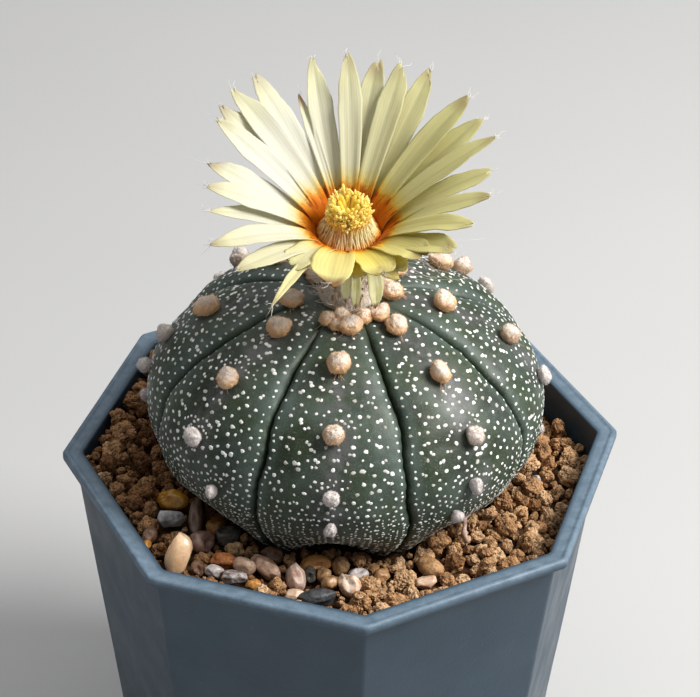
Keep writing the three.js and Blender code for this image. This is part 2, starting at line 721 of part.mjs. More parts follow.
function makeCorolla() {
  const profile = [
    [TUBE_TOP_RADIUS, CUP_BOTTOM],
    [CUP_BELLY_RADIUS, CUP_BELLY_HEIGHT],
    [CUP_RIM_RADIUS, CUP_RIM],
    [CUP_RIM_RADIUS - CUP_WALL, CUP_RIM],
    [CUP_BELLY_RADIUS - CUP_WALL, CUP_BELLY_HEIGHT],
    [TUBE_TOP_RADIUS - CUP_WALL / 3, CUP_FLOOR],
  ];
  const cup = loft(profile.map(([radius, height]) => circle(radius, height, 24)));
  const open = PETALS.map((row, index) => petal(row, index, PETAL_START_RISE));
  const hanging = HANGING_PETALS.map((row) => petal(row, 0, HANGING_START_RISE));
  return joined([cup, ...open, ...hanging].map(solidOf));
}

function makeStamens() {
  const draw = seededDraw(37);
  const core = STAMEN_CORE.map(([radius, height]) => new THREE.Vector2(radius, height));
  core.push(core[0].clone());
  const lathe = new THREE.LatheGeometry(core, STAMEN_CORE_SIDES);
  lathe.rotateX(Math.PI / 2);
  const solids = [solidOf(lathe)];
  for (const [footRadius, footHeight, tipRadius, tipHeight, count] of FILAMENT_ROWS) {
    for (let index = 0; index < count; index += 1) {
      const azimuth = ((index + 0.6 * draw()) * FULL_TURN) / count;
      const foot = polar(footRadius - FILAMENT_SINK, azimuth, footHeight);
      const [aside, up] = ANTHER_SCATTER.map((spread) => spread * (draw() - 0.5));
      const tip = polar(tipRadius + aside, azimuth, tipHeight + up);
      solids.push(solidOf(spike(foot, tip, FILAMENT_RADIUS, ANTHER_RADIUS)));
    }
  }
  return joined(solids);
}

function makePistil() {
  const rings = [
    circle(STYLE_FOOT_RADIUS, CUP_FLOOR + GAP, STYLE_SIDES),
    circle(STYLE_RADIUS, CUP_FLOOR + 2, STYLE_SIDES),
    circle(STYLE_RADIUS, STYLE_TOP, STYLE_SIDES),
  ];
  const solids = [solidOf(loft(rings))];
  for (let lobe = 0; lobe < STIGMA_LOBES; lobe += 1) {
    const azimuth = (lobe * FULL_TURN) / STIGMA_LOBES;
    const [footRadius, footHeight] = STIGMA_FOOT;
    const reach = STIGMA_LENGTH * Math.sin(radians(STIGMA_SPREAD));
    const rise = STIGMA_LENGTH * Math.cos(radians(STIGMA_SPREAD));
    const tip = polar(footRadius + reach, azimuth, footHeight + rise);
    solids.push(solidOf(spike(polar(footRadius, azimuth, footHeight), tip, ...STIGMA_RADII)));
  }
  return joined(solids);
}

// ---------------------------------------------------------------------------------------------------
// Assembly
// ---------------------------------------------------------------------------------------------------

const flower = new THREE.Group();
flower.position.set(FLOWER_X, 0, POT_HEIGHT + FLOWER_HEIGHT);
const leanAxis = polar(1, FLOWER_LEAN_AZIMUTH + 90, 0);
flower.quaternion.setFromAxisAngle(leanAxis, radians(FLOWER_LEAN));
flower.rotateZ(radians(FLOWER_TURN));
flower.updateMatrixWorld(true);

flower.add(pieceOf('flower_tube', geometryOf(makeTube()), 0xb9a79c, 0.9));
flower.add(pieceOf('corolla', geometryOf(makeCorolla()), 0xefe9a8, 0.55));
flower.add(pieceOf('stamens', geometryOf(makeStamens()), 0xf2cf6a, 0.6));
flower.add(pieceOf('pistil', geometryOf(makePistil()), 0xf0c040, 0.5));

const plant = new THREE.Group();
plant.add(pieceOf('pot', geometryOf(makePot()), 0x5d6f80, 0.5));
plant.add(pieceOf('potting_mix', geometryOf(makeMix()), 0x9a6b45, 0.95));
plant.add(pieceOf('cactus_body', geometryOf(makeStem(flower.matrixWorld)), 0x33483a, 0.6));
plant.add(flower);
PEBBLES.forEach((pebble, index) => {
  const geometry = pebbleGeometry(pebble, 0, seededDraw(PEBBLE_SEED + index));
  plant.add(pieceOf(`pebble_${pebble[0]}`, geometry, pebble[8], 0.6));
});

export default plant;
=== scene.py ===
import bpy
import math
import numpy as np
from mathutils import Matrix, Vector, noise


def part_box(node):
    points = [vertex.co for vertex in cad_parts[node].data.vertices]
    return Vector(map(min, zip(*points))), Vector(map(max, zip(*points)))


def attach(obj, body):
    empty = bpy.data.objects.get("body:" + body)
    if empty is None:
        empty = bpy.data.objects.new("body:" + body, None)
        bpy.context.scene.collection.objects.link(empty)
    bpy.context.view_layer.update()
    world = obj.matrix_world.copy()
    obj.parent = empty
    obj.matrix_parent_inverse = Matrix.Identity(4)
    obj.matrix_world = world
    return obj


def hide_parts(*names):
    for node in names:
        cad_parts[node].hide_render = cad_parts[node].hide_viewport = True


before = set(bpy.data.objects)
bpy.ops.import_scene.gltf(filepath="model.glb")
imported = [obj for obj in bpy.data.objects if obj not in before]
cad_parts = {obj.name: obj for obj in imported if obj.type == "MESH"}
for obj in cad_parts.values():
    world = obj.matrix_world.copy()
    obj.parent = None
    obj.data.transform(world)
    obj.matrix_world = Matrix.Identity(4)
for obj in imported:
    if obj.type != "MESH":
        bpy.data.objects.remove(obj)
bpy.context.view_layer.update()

# Potted star cactus: the finished surfaces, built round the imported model.
# Shapes are worked out in millimetres in the part's own frame and turned into metres when a piece is made.
# Azimuths are degrees counterclockwise from +X, and polar angles are degrees down from the crown.

MM = 0.001
FULL_TURN = 360.0
# A whole turn in radians, as the random turns use it.
TURN_RADIANS = 6.28

# Pot
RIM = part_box("pot")[1].z / MM
POT_SIDES = 8
HALF_SIDE = FULL_TURN / POT_SIDES / 2
RIM_CORNER = 54.1
LIP_HEIGHT = 2.0
WALL_TOP = 51.8
WALL_BOTTOM = 42.4
WALL = 1.7
RIM_BEAD = 0.75
RIM_BAND_DROP = 0.35
RIM_INNER = 50.1
CORNER_ROUNDING = 1.6
CORNER_POINTS = 6
LIP_ROUNDING = 0.45
STANDING_RING = 4
FOOT_RECESS = 1.2
FLOOR = 3.6
DRAIN_RADIUS = 3.5
DRAIN_CIRCLE = 24

# Stem
STEM_X = 0.5
EQUATOR = 11.5
STEM_RADIUS = 38.0
UPPER_HEIGHT = 23.9
LOWER_HEIGHT = 27.4
RIBS = 8
HALF_RIB = FULL_TURN / RIBS / 2
FIRST_RIB = 261.5
FURROW_DEPTH = 1.0
FURROW_WIDTH = 1.6
SLIT_DEPTH = 0.95
SLIT_WIDTH = 0.24
SHOULDER_ROLL = 1.3
LOW_VALLEY = 3.4
CROWN_DIP = 1.8
CROWN_DIP_RADIUS = 7.0
ROOT = [(2.5, -38.0), (6.0, -24.0), (9.5, -15.5)]
AREOLES = [
    [31, 55, 79, 94],
    [21, 41, 65, 85, 97],
    [13, 28, 52, 75, 103],
    [18, 38, 50, 70, 90],
    [17, 34, 54, 76, 92],
    [15, 30, 55, 74, 91],
    [42, 62, 80, 96],
    [25, 47, 72, 90],
]
AREOLE_RADIUS = 2.3
AREOLE_SMALLEST = 1.2
NAP_HAIRS = 1300
# Areoles that grew beside their crest: rib and polar angle, and degrees to the side.
AREOLE_STRAYS = {(1, 85): -3.5, (1, 97): -9.0, (7, 90): 10.0}
# Tufts round the foot of the flower: azimuth, degrees down from the crown, radius.
CROWN_TUFTS = [
    (246, 14.5, 1.9),
    (268, 17, 2.2),
    (304, 14, 2.2),
    (20, 11.5, 1.7),
    (80, 11.5, 1.9),
    (140, 11.5, 1.8),
    (190, 16, 2.2),
]
# Low pads of wool between them, with the same columns.
CROWN_PADS = [
    (256, 16.2, 1.7),
    (258, 12.8, 1.8),
    (287, 13.0, 1.9),
]
# White flecks of each kind: least size, how much larger they may be, and how far apart they lie.
ARC_FLECK = (0.23, 0.1, 0.64)
FURROW_FLECK = (0.22, 0.12, 0.7)
FOOT_FLECK = (0.15, 0.06, 0.5)
LOOSE_FLECKS = 40000
# Side of the boxes that flecks are sorted into, to find what is near.
FLECK_BOX = 2.4
NEIGHBOURS = [(x, y, z) for x in (-1, 0, 1) for y in (-1, 0, 1) for z in (-1, 0, 1)]

# Potting mix, relative to the rim
MIX_LEVEL = -5.1
MIX_TILT = 2.7
MIX_LOW_AZIMUTH = 5
MIX_RIPPLE = 0.5
# How far granules may rise above the mix.
MIX_HEAP = 3.4
# Granules laid in turn: how many, least and greatest radius, spacing, and whether they lie on the others.
GRANULE_PASSES = [
    (60, 2.0, 2.9, 1.03, False),
    (150, 1.3, 2.1, 1.0, False),
    (420, 0.5, 1.25, 0.88, False),
    (60, 1.2, 2.1, 0.0, True),
    (120, 0.4, 0.95, 0.0, True),
]

# Flower
FLOWER_BASE = Vector((0.5, 0.0, RIM + 34.0))
FLOWER_LEAN = 12
FLOWER_LEAN_AZIMUTH = 265
FLOWER_TURN = -5
TUBE_LENGTH = 12.0
# Foot of each layer of petals above the cup, and the way down from it inside the bowl: radius and height.
PETAL_LAYERS = [(7.2, 17.7), (6.8, 18.7)]
BOWL_PATHS = [
    [(6.2, 15.5), (6.08, 15.9), (6.3, 16.4), (6.65, 17.05)],
    [(6.0, 15.6), (5.78, 16.1), (5.9, 16.9), (6.25, 17.8)],
]
BOWL_DEPTH = 2.5
PETAL_WIDTH = 4.45
PETAL_START_RISE = 48
HANGING_START_RISE = -40
# Outside of the flower's tube and cup: height and radius.
TUBE_PROFILE = [
    (-1.6, 5.3), (0.5, 5.2), (4.5, 4.45), (6, 4.55), (11.9, 5.7),
    (14, 6.2), (15.8, 7.0), (17.6, 7.6), (18.6, 8.0),
]
# Inside of the cup below the petals: radius and height, from the lip down to the floor.
CUP_LIP = (7.4, 17.1)
CUP_INSIDE = [
    (7.2, 17.4), (6.95, 17.2), (6.6, 16.6), (6.35, 16.0),
    (6.2, 15.4), (5.9, 14.4), (5.4, 13.5), (0.6, 13.3),
]
# Azimuth round the flower, length, rise of the tip, share of the full width, bluntness of the tip.
PETALS = [
    (8, 21.5, 21, 1.0, 0.5),
    (19, 25, 23, 1.05, 0.1),
    (31, 25, 25, 1.1, 0.4),
    (41, 26, 26, 1.1, 0.5),
    (59, 27, 26, 1.1, 0.4),
    (69, 25.5, 30, 1.05, 0.6),
    (81, 26, 32, 1.05, 0.5),
    (89, 26.5, 32, 1.0, 0.3),
    (106, 27, 27, 1.05, 0.2),
    (114, 20.5, 22, 0.5, 0.2),
    (126, 27, 26, 1.15, 0.4),
    (137, 26.5, 21, 1.15, 0.3),
    (144, 25.5, 24, 1.15, 0.4),
    (154, 24.5, 23, 1.2, 0.2),
    (172, 21.5, 23, 1.1, 0.3),
    (186, 21.5, 21, 1.1, 0.2),
    (194, 21.5, 16, 1.0, 0.0),
    (214, 23.5, 7, 1.1, 0.2),
    (226, 21.5, 4, 1.1, 0.2),
    (237, 12.5, 5, 1.35, 0.9),
    (242, 23.5, -6, 0.45, 0.0),
    (259, 15.5, 5, 1.7, 0.6),
    (273, 9.5, 6, 1.4, 1.0),
    (289, 12.0, 8, 1.5, 0.9),
    (299, 11.5, 6, 1.3, 0.9),
    (313, 14, 15, 1.4, 0.8),
    (321, 19.5, 21, 1.15, 0.5),
    (334, 21, 23, 1.1, 0.4),
    (355, 21, 23, 1.0, 0.4),
]
# Withered outer petals that hang along the tube, with the same columns.
HANGING_PETALS = [
    (268, 9.5, -95, 0.4, 0.0),
    (279, 11, -95, 0.45, 0.0),
    (299, 11.5, -92, 0.7, 0.0),
]
# Rows of PETALS whose tips are scorched brown.
BROWN_TIPPED = (9, 21)
# Middle of the front of the flower, and how far round it the petals run to a deeper yellow: a painted shade
# on the front petals.
SHADE_GOLD_AZIMUTH = 275
SHADE_GOLD_SPREAD = 42
# Azimuth where the petals are palest: a painted highlight where the light falls on them.
HIGHLIGHT_AZIMUTH = 160
# Rows of filaments, outer first: foot, knee and tip, each as radius and height, and how many.
FILAMENT_ROWS = [
    (5.8, 16.9, 4.35, 18.7, 3.45, 21.2, 170),
    (5.4, 16.7, 4.15, 19.2, 3.35, 22.0, 130),
    (4.9, 16.5, 3.8, 19.8, 3.15, 22.9, 84),
    (4.2, 16.3, 3.4, 20.3, 2.9, 23.6, 58),
    (3.5, 16.2, 2.9, 20.6, 2.55, 24.1, 34),
]
# The core that the filaments stand round: radius and height.
FILAMENT_CORE = [
    (1.9, 14), (4.4, 14), (5.2, 16.4), (4.1, 18.1), (3.6, 19.6),
    (3.1, 21.3), (2.6, 22.6), (2.25, 23.0), (1.9, 22.2),
]
STIGMA_LOBES = 9
SCALE_ROWS = 7
TUBE_HAIRS = 900

# Wisps of loose wool that trail from the tube: azimuth, height, how far they reach, and how many.
WISPS = [
    (336, 16, 25, 16),
    (246, 12, 11, 10),
    (20, 13, 12, 6),
    (150, 12, 11, 6),
]

# Camera, set to the photograph's viewing angle
CAMERA_LENS = 127.58
CAMERA_DISTANCE = 469.4
CAMERA_ELEVATION = 35.78
CAMERA_AZIMUTH = 264.62
CAMERA_ROLL = 1.07
CAMERA_TARGET = Vector((1.24, -0.12, RIM + 21.99))

# Light, in metres: kind, name, place, size (a disk's width or the sun's angle), power and colour.
LIGHTS = [
    ("AREA", "key", (0.55, -0.14, 0.67), 0.42, 11.2, (1.0, 0.985, 0.96)),
    ("AREA", "fill", (-0.15, -0.75, 0.40), 0.9, 0.35, (0.97, 0.98, 1.0)),
    ("SUN", "top", (-0.05, 0.30, 0.95), math.radians(80), 1.35, (1.0, 1.0, 1.0)),
]
LIGHTS_AIM = (0, 0, 0.11)
WORLD_COLOUR = (0.93, 0.95, 1.0, 1)
WORLD_STRENGTH = 0.17
FLOOR_HALF = 3.0


# ---- Shapes ----


class Shape:
    """Points, groups of faces with the same number of corners, and named values for each point."""

    def __init__(self, points, faces, **marks):
        self.points = np.asarray(points, float).reshape(-1, 3)
        self.faces = [np.asarray(group, int) for group in faces if len(group)]
        self.marks = {}
        for name, value in marks.items():
            self.marks[name] = np.broadcast_to(np.asarray(value, float), (len(self.points),)).copy()

    def moved(self, matrix):
        turn = np.array(matrix.to_3x3())
        shift = np.array(matrix.to_translation())
        return Shape(self.points @ turn.T + shift, self.faces, **self.marks)


def merged(shapes):
    points = np.concatenate([shape.points for shape in shapes])
    groups = {}
    start = 0
    for shape in shapes:
        for group in shape.faces:
            groups.setdefault(group.shape[1], []).append(group + start)
        start += len(shape.points)
    marks = {}
    for name in shapes[0].marks:
        marks[name] = np.concatenate([shape.marks[name] for shape in shapes])
    return Shape(points, [np.concatenate(found) for found in groups.values()], **marks)


def make_piece(name, shape, material, slot, *replaced):
    """Turns a shape into an object that rides on the part's one body."""
    mesh = bpy.data.meshes.new(name)
    corners = np.concatenate([group.ravel() for group in shape.faces])
    sizes = np.concatenate([np.full(len(group), group.shape[1]) for group in shape.faces])
    mesh.vertices.add(len(shape.points))
    mesh.vertices.foreach_set("co", (shape.points * MM).astype(np.float32).ravel())
    mesh.loops.add(len(corners))
    mesh.loops.foreach_set("vertex_index", corners.astype(np.int32))
    mesh.polygons.add(len(sizes))
    starts = np.concatenate([[0], np.cumsum(sizes)[:-1]])
    mesh.polygons.foreach_set("loop_start", starts.astype(np.int32))
    mesh.polygons.foreach_set("use_smooth", np.full(len(sizes), True))
    for mark, values in shape.marks.items():
        attribute = mesh.attributes.new(mark, "FLOAT", "POINT")
        attribute.data.foreach_set("value", values.astype(np.float32))
    mesh.update(calc_edges=True)
    mesh.validate()
    mesh.materials.append(material)
    piece = bpy.data.objects.new(name, mesh)
    bpy.context.scene.collection.objects.link(piece)
    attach(piece, "root")
    if replaced:
        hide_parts(*replaced)
    return piece


def loft(rings, **marks):
    """Skins equal rings of points into one closed surface, with a fan at each end."""
    rings = np.asarray(rings, float)
    rows, count = rings.shape[:2]
    row, column = np.meshgrid(np.arange(rows - 1), np.arange(count), indexing="ij")
    here = (row * count + column).ravel()
    beside = (row * count + (column + 1) % count).ravel()
    quads = np.stack([here, beside, beside + count, here + count], axis=1)
    first, last = rows * count, rows * count + 1
    column = np.arange(count)
    following = (column + 1) % count
    base = (rows - 1) * count
    start_fan = np.stack([np.full(count, first), following, column], axis=1)
    end_fan = np.stack([np.full(count, last), base + column, base + following], axis=1)
    points = np.concatenate([rings.reshape(-1, 3), rings[:1].mean(axis=1), rings[-1:].mean(axis=1)])
    whole = {}
    for name, values in marks.items():
        grid = np.broadcast_to(values, (rows, count))
        whole[name] = np.concatenate([grid.ravel(), [grid[0].mean(), grid[-1].mean()]])
    return Shape(points, [quads, start_fan, end_fan], **whole)


def polar(radius, azimuth, height):
    azimuth = np.radians(azimuth)
    return np.stack(np.broadcast_arrays(radius * np.cos(azimuth), radius * np.sin(azimuth), height), axis=-1)


def smooth(value, low, high):
    share = np.clip((np.asarray(value, float) - low) / (high - low), 0, 1)
    return share * share * (3 - 2 * share)


def unit(vectors):
    return vectors / np.maximum(np.linalg.norm(vectors, axis=-1, keepdims=True), 1e-9)


def ball(detail):
    """An even ball of triangles of radius 1."""
    golden = (1 + 5 ** 0.5) / 2
    points = []
    for one in (-1, 1):
        for other in (-golden, golden):
            points += [(0, one, other), (one, other, 0), (other, 0, one)]
    points = unit(np.array(points))
    gap = np.linalg.norm(points[:, None] - points[None], axis=-1)
    edge = np.min(gap[gap > 0.1]) * 1.01
    faces = []
    for a in range(12):
        for b in range(a + 1, 12):
            for c in range(b + 1, 12):
                if gap[a, b] < edge and gap[b, c] < edge and gap[a, c] < edge:
                    outward = np.dot(np.cross(points[b] - points[a], points[c] - points[a]), points[a]) > 0
                    faces.append((a, b, c) if outward else (a, c, b))
    points = [tuple(point) for point in points]
    for _ in range(detail):
        middles = {}

        def middle(one, other):
            key = (min(one, other), max(one, other))
            if key not in middles:
                between = np.add(points[one], points[other])
                middles[key] = len(points)
                points.append(tuple(between / np.linalg.norm(between)))
            return middles[key]

        finer = []
        for a, b, c in faces:
            ab, bc, ca = middle(a, b), middle(b, c), middle(c, a)
            finer += [(a, ab, ca), (b, bc, ab), (c, ca, bc), (ab, bc, ca)]
        faces = finer
    return Shape(np.array(points), [np.array(faces)])


def rough(points, size, octaves, seed):
    """Smooth random values from about -1 to 1, with features of the given size."""
    shift = Vector((seed * 7.3, seed * 3.1, seed * 5.7))
    values = [noise.fractal(Vector(point) / size + shift, 0.6, 2.0, octaves) for point in points]
    return np.array(values)


def crumbs(points, size, seed):
    """Distance to the nearest of many scattered points, 0 at one and about 1 between them."""
    shift = Vector((seed * 7.3, seed * 3.1, seed * 5.7))
    return np.array([noise.voronoi(Vector(point) / size + shift)[0][0] for point in points])


def threads(paths, radii, sides=3):
    """Closed tubes along many paths at once: paths is (count, stations, 3) and radii is for each station."""
    paths = np.asarray(paths, float)
    count, stations = paths.shape[:2]
    radii = np.broadcast_to(radii, (count, stations))
    along = unit(np.gradient(paths, axis=1))
    helper = np.where(np.abs(along[..., 2:3]) > 0.9, [1.0, 0, 0], [0, 0, 1.0])
    side = unit(np.cross(along, helper))
    up = np.cross(along, side)
    turns = np.arange(sides) * 2 * np.pi / sides
    ring = side[:, :, None] * np.cos(turns)[:, None] + up[:, :, None] * np.sin(turns)[:, None]
    points = paths[:, :, None] + ring * radii[..., None, None]
    base = np.arange(count)[:, None, None] * stations * sides
    station = np.arange(stations - 1)[None, :, None] * sides
    turn = np.arange(sides)[None, None, :]
    here = (base + station + turn).ravel()
    beside = (base + station + (turn + 1) % sides).ravel()
    quads = np.stack([here, beside, beside + sides, here + sides], axis=1)
    start = np.arange(count)[:, None] * stations * sides
    first = start + np.arange(sides)[::-1]
    last = start + (stations - 1) * sides + np.arange(sides)
    share = np.broadcast_to(np.linspace(0, 1, stations)[None, :, None], (count, stations, sides))
    return Shape(points.reshape(-1, 3), [quads, first, last], along=share.ravel())


def hairs(paths, radii, age):
    """Fine threads that carry the age of their wool, one value for each of them or one for all."""
    shape = threads(paths, radii)
    each = len(shape.points) // len(paths)
    return Shape(shape.points, shape.faces, age=np.repeat(np.broadcast_to(age, len(paths)), each))


def facing(direction, spin):
    """A turn that takes +Z to a direction, after a spin about it."""
    return Vector(direction).to_track_quat("Z", "Y").to_matrix().to_4x4() @ Matrix.Rotation(spin, 4, "Z")


# ---- Materials ----


class Paint:
    """A material with a shader and short ways to add the nodes that colour it."""

    def __init__(self, name, **constants):
        self.material = bpy.data.materials.new(name)
        self.material.use_nodes = True
        self.tree = self.material.node_tree
        self.shader = self.tree.nodes["Principled BSDF"]
        for socket, value in constants.items():
            self.shader.inputs[socket.replace("_", " ")].default_value = value
        self.place = self.tree.nodes.new("ShaderNodeTexCoord").outputs["Object"]

    def node(self, kind, output=0, settings=(), **inputs):
        made = self.tree.nodes.new(kind)
        for name, value in dict(settings).items():
            setattr(made, name, value)
        for name, value in inputs.items():
            socket = made.inputs[int(name[1:])] if name[1:].isdigit() else made.inputs[name.replace("_", " ")]
            if isinstance(value, bpy.types.NodeSocket):
                self.tree.links.new(value, socket)
            else:
                socket.default_value = value
        return made.outputs[output]

    def mark(self, name):
        return self.node("ShaderNodeAttribute", "Fac", {"attribute_name": name})

    def noise(self, size, detail=3.0, roughness=0.55, stretch=None):
        """Noise with features of a size in millimetres, stretched along axes if asked."""
        place = self.place
        if stretch:
            place = self.node("ShaderNodeMapping", Vector=place, Scale=stretch)
        inputs = {"Vector": place, "Scale": 1 / (size * MM), "Detail": detail, "Roughness": roughness}
        return self.node("ShaderNodeTexNoise", "Fac", **inputs)

    def cells(self, size):
        return self.node("ShaderNodeTexVoronoi", "Distance", Vector=self.place, Scale=1 / (size * MM))

    def ramp(self, value, *stops):
        made = self.tree.nodes.new("ShaderNodeValToRGB")
        self.tree.links.new(value, made.inputs[0])
        elements = made.color_ramp.elements
        while len(elements) < len(stops):
            elements.new(0.5)
        for element, (position, colour) in zip(elements, stops):
            element.position = position
            element.color = (*colour, 1) if isinstance(colour, tuple) else (colour, colour, colour, 1)
        return made.outputs[0]

    def mix(self, share, one, other, blend="MIX"):
        made = self.tree.nodes.new("ShaderNodeMix")
        made.data_type = "RGBA"
        made.blend_type = blend
        for socket, value in ((made.inputs[0], share), (made.inputs[6], one), (made.inputs[7], other)):
            if isinstance(value, bpy.types.NodeSocket):
                self.tree.links.new(value, socket)
            elif isinstance(value, tuple):
                socket.default_value = (*value, 1)
            else:
                socket.default_value = value
        return made.outputs[2]

    def math(self, operation, one, other=0.0):
        return self.node("ShaderNodeMath", 0, {"operation": operation}, _0=one, _1=other)

    def times(self, one, other):
        return self.math("MULTIPLY", one, other)

    def plus(self, one, other):
        return self.math("ADD", one, other)

    def shade(self, colour, by):
        return self.mix(1.0, colour, by, "MULTIPLY")

    def use(self, socket, value):
        self.tree.links.new(value, self.shader.inputs[socket])

    def bump(self, height, depth):
        """Relief of a depth in millimetres."""
        self.use("Normal", self.node("ShaderNodeBump", Height=height, Distance=depth * MM, Strength=1.0))

    def let_through(self, share, colour):
        """Lets a share of the light pass through, tinted by the colour."""
        through = self.node("ShaderNodeBsdfTranslucent", Color=colour)
        blend = self.node("ShaderNodeMixShader", _0=share, _1=self.shader.outputs[0], _2=through)
        output = next(node for node in self.tree.nodes if node.type == "OUTPUT_MATERIAL")
        self.tree.links.new(blend, output.inputs["Surface"])


def pot_material():
    paint = Paint("pot_plastic", Specular_IOR_Level=0.32)
    cloud = paint.noise(22, 4)
    colour = paint.ramp(cloud, (0.3, (0.030, 0.053, 0.078)), (0.7, (0.042, 0.072, 0.103)))
    # The rim's top and bead are painted a lighter blue-grey: partly real wear, partly a painted highlight
    # where the light falls on the rim.
    rim_wear_and_highlight = paint.times(paint.mark("edge"), paint.ramp(paint.noise(2.5, 6, 0.7), (0.35, 0.45), (0.7, 1.0)))
    colour = paint.mix(rim_wear_and_highlight, colour, (0.16, 0.225, 0.29))
    scuff = paint.ramp(paint.noise(4, 6, 0.75, stretch=(1, 1, 0.1)), (0.63, 0.0), (0.78, 0.25))
    colour = paint.mix(scuff, colour, (0.13, 0.16, 0.19))
    dust = paint.ramp(paint.noise(0.6, 3), (0.68, 0.0), (0.78, 0.35))
    colour = paint.mix(dust, colour, (0.24, 0.24, 0.23))
    paint.use("Base Color", colour)
    paint.use("Roughness", paint.ramp(paint.noise(9, 5, 0.6), (0.3, 0.36), (0.75, 0.55)))
    paint.bump(paint.plus(paint.noise(0.7, 3), paint.noise(6, 2)), 0.04)
    return paint.material


def granule_material():
    paint = Paint("granules", Roughness=0.95, Specular_IOR_Level=0.15)
    base = paint.ramp(
        paint.mark("tint"),
        (0.0, (0.12, 0.050, 0.019)),
        (0.35, (0.28, 0.135, 0.058)),
        (0.7, (0.50, 0.275, 0.130)),
        (1.0, (0.70, 0.45, 0.25)),
    )
    # Darker in the hollows and lighter on the lumps: a painted shade and a painted highlight.
    painted_hollow_shade = paint.ramp(paint.mark("pit"), (0.15, 0.35), (0.5, 0.95), (0.85, 1.25))
    colour = paint.shade(base, painted_hollow_shade)
    spots = paint.ramp(paint.noise(0.7, 6, 0.75), (0.38, 0.55), (0.62, 1.15))
    colour = paint.shade(colour, spots)
    pale = paint.ramp(paint.noise(0.4, 3), (0.6, 0.0), (0.75, 0.4))
    colour = paint.mix(pale, colour, (0.6, 0.43, 0.28))
    paint.use("Base Color", colour)
    pores = paint.ramp(paint.cells(0.55), (0.0, 0.0), (0.35, 1.0))
    paint.bump(paint.plus(paint.noise(0.45, 6, 0.8), pores), 0.3)
    return paint.material


def bed_material():
    paint = Paint("mix_bed", Roughness=1.0, Specular_IOR_Level=0.1)
    # The mix under the granules is very dark: a painted shade for the gaps between them.
    earth_in_shade = paint.ramp(paint.noise(1.5, 6, 0.7), (0.3, (0.02, 0.010, 0.005)), (0.7, (0.13, 0.065, 0.032)))
    paint.use("Base Color", earth_in_shade)
    paint.bump(paint.noise(0.8, 6, 0.7), 0.5)
    return paint.material


def stone_material(name, dark, light, size, roughness, bump=0.03, stretch=None, specks=None):
    paint = Paint("stone_" + name, Specular_IOR_Level=0.55)
    colour = paint.ramp(paint.noise(size, 6, 0.6, stretch), (0.34, dark), (0.62, light))
    depth = 0.1 + bump
    grain = paint.ramp(paint.noise(0.5, 4, 0.7), (0.36, 1 - depth), (0.62, 1 + 0.4 * depth))
    colour = paint.shade(colour, grain)
    if specks:
        colour = paint.mix(paint.ramp(paint.noise(0.5, 2), (0.6, 0.0), (0.72, 0.8)), colour, specks)
    paint.use("Base Color", colour)
    paint.use("Roughness", paint.ramp(paint.noise(1.2, 4), (0.3, roughness - 0.16), (0.7, roughness + 0.06)))
    paint.bump(paint.noise(0.6, 5, 0.65), bump)
    return paint.material


def skin_material():
    paint = Paint("cactus_skin", Specular_IOR_Level=0.42)
    green = paint.ramp(paint.noise(8, 5, 0.6), (0.32, (0.008, 0.013, 0.006)), (0.66, (0.032, 0.052, 0.019)))
    bloom = paint.ramp(paint.noise(11, 5, 0.65), (0.42, 0.0), (0.70, 0.7))
    colour = paint.mix(bloom, green, (0.072, 0.102, 0.090))
    cloudy = paint.ramp(paint.noise(3.5, 5, 0.7), (0.38, 0.0), (0.64, 0.9))
    colour = paint.mix(paint.times(paint.mark("crest"), cloudy), colour, (0.115, 0.112, 0.118))
    # A lighter band beside each furrow: a painted highlight on the lips.
    colour = paint.mix(paint.times(paint.mark("shoulder"), 0.4), colour, (0.090, 0.130, 0.115))
    # The furrow mark darkens a thin line along each furrow: a painted shade in the slit.
    colour = paint.mix(paint.times(paint.mark("furrow"), 0.5), colour, (0.006, 0.009, 0.005))
    corky = paint.ramp(paint.noise(4, 5, 0.7), (0.4, 0.1), (0.7, 0.7))
    colour = paint.mix(paint.times(paint.mark("low"), corky), colour, (0.030, 0.032, 0.018))
    stipple = paint.ramp(paint.noise(0.3, 2, 0.5), (0.58, 0.0), (0.70, 0.5))
    colour = paint.mix(stipple, colour, (0.15, 0.175, 0.15))
    paint.use("Base Color", colour)
    paint.use("Roughness", paint.ramp(paint.noise(6, 4), (0.3, 0.42), (0.7, 0.6)))
    paint.bump(paint.plus(paint.noise(0.3, 3), paint.noise(2.2, 3)), 0.05)
    return paint.material


def wool_material(name, ramp, fuzz, tips=None):
    """Soft wool whose colour runs with the mark called age, and, if asked, pales where the mark called tip is
    high: a painted highlight on the tops that face the light.
    """
    paint = Paint(name, Roughness=1.0, Specular_IOR_Level=0.08, Sheen_Weight=0.25, Sheen_Roughness=0.6)
    colour = paint.ramp(paint.mark("age"), *ramp)
    if tips:
        # The tops that face the light are paler: a painted highlight.
        patchy = paint.times(paint.mark("tip"), paint.ramp(paint.noise(0.8, 3), (0.3, 0.6), (0.7, 1.0)))
        colour = paint.mix(patchy, colour, tips)
    blotch = paint.ramp(paint.noise(0.9, 4, 0.6), (0.35, 0.88), (0.66, 1.05))
    colour = paint.shade(colour, blotch)
    paint.use("Base Color", colour)
    paint.bump(paint.noise(0.22, 5, 0.75), fuzz)
    return paint.material


def fleck_material():
    paint = Paint("wool_flecks", Roughness=1.0, Specular_IOR_Level=0.1, Sheen_Weight=0.3)
    grey, white, bright = (0.42, 0.41, 0.36), (0.78, 0.78, 0.74), (0.93, 0.93, 0.9)
    paint.use("Base Color", paint.ramp(paint.mark("tint"), (0.0, grey), (0.45, white), (1.0, bright)))
    paint.bump(paint.noise(0.18, 3, 0.7), 0.12)
    return paint.material


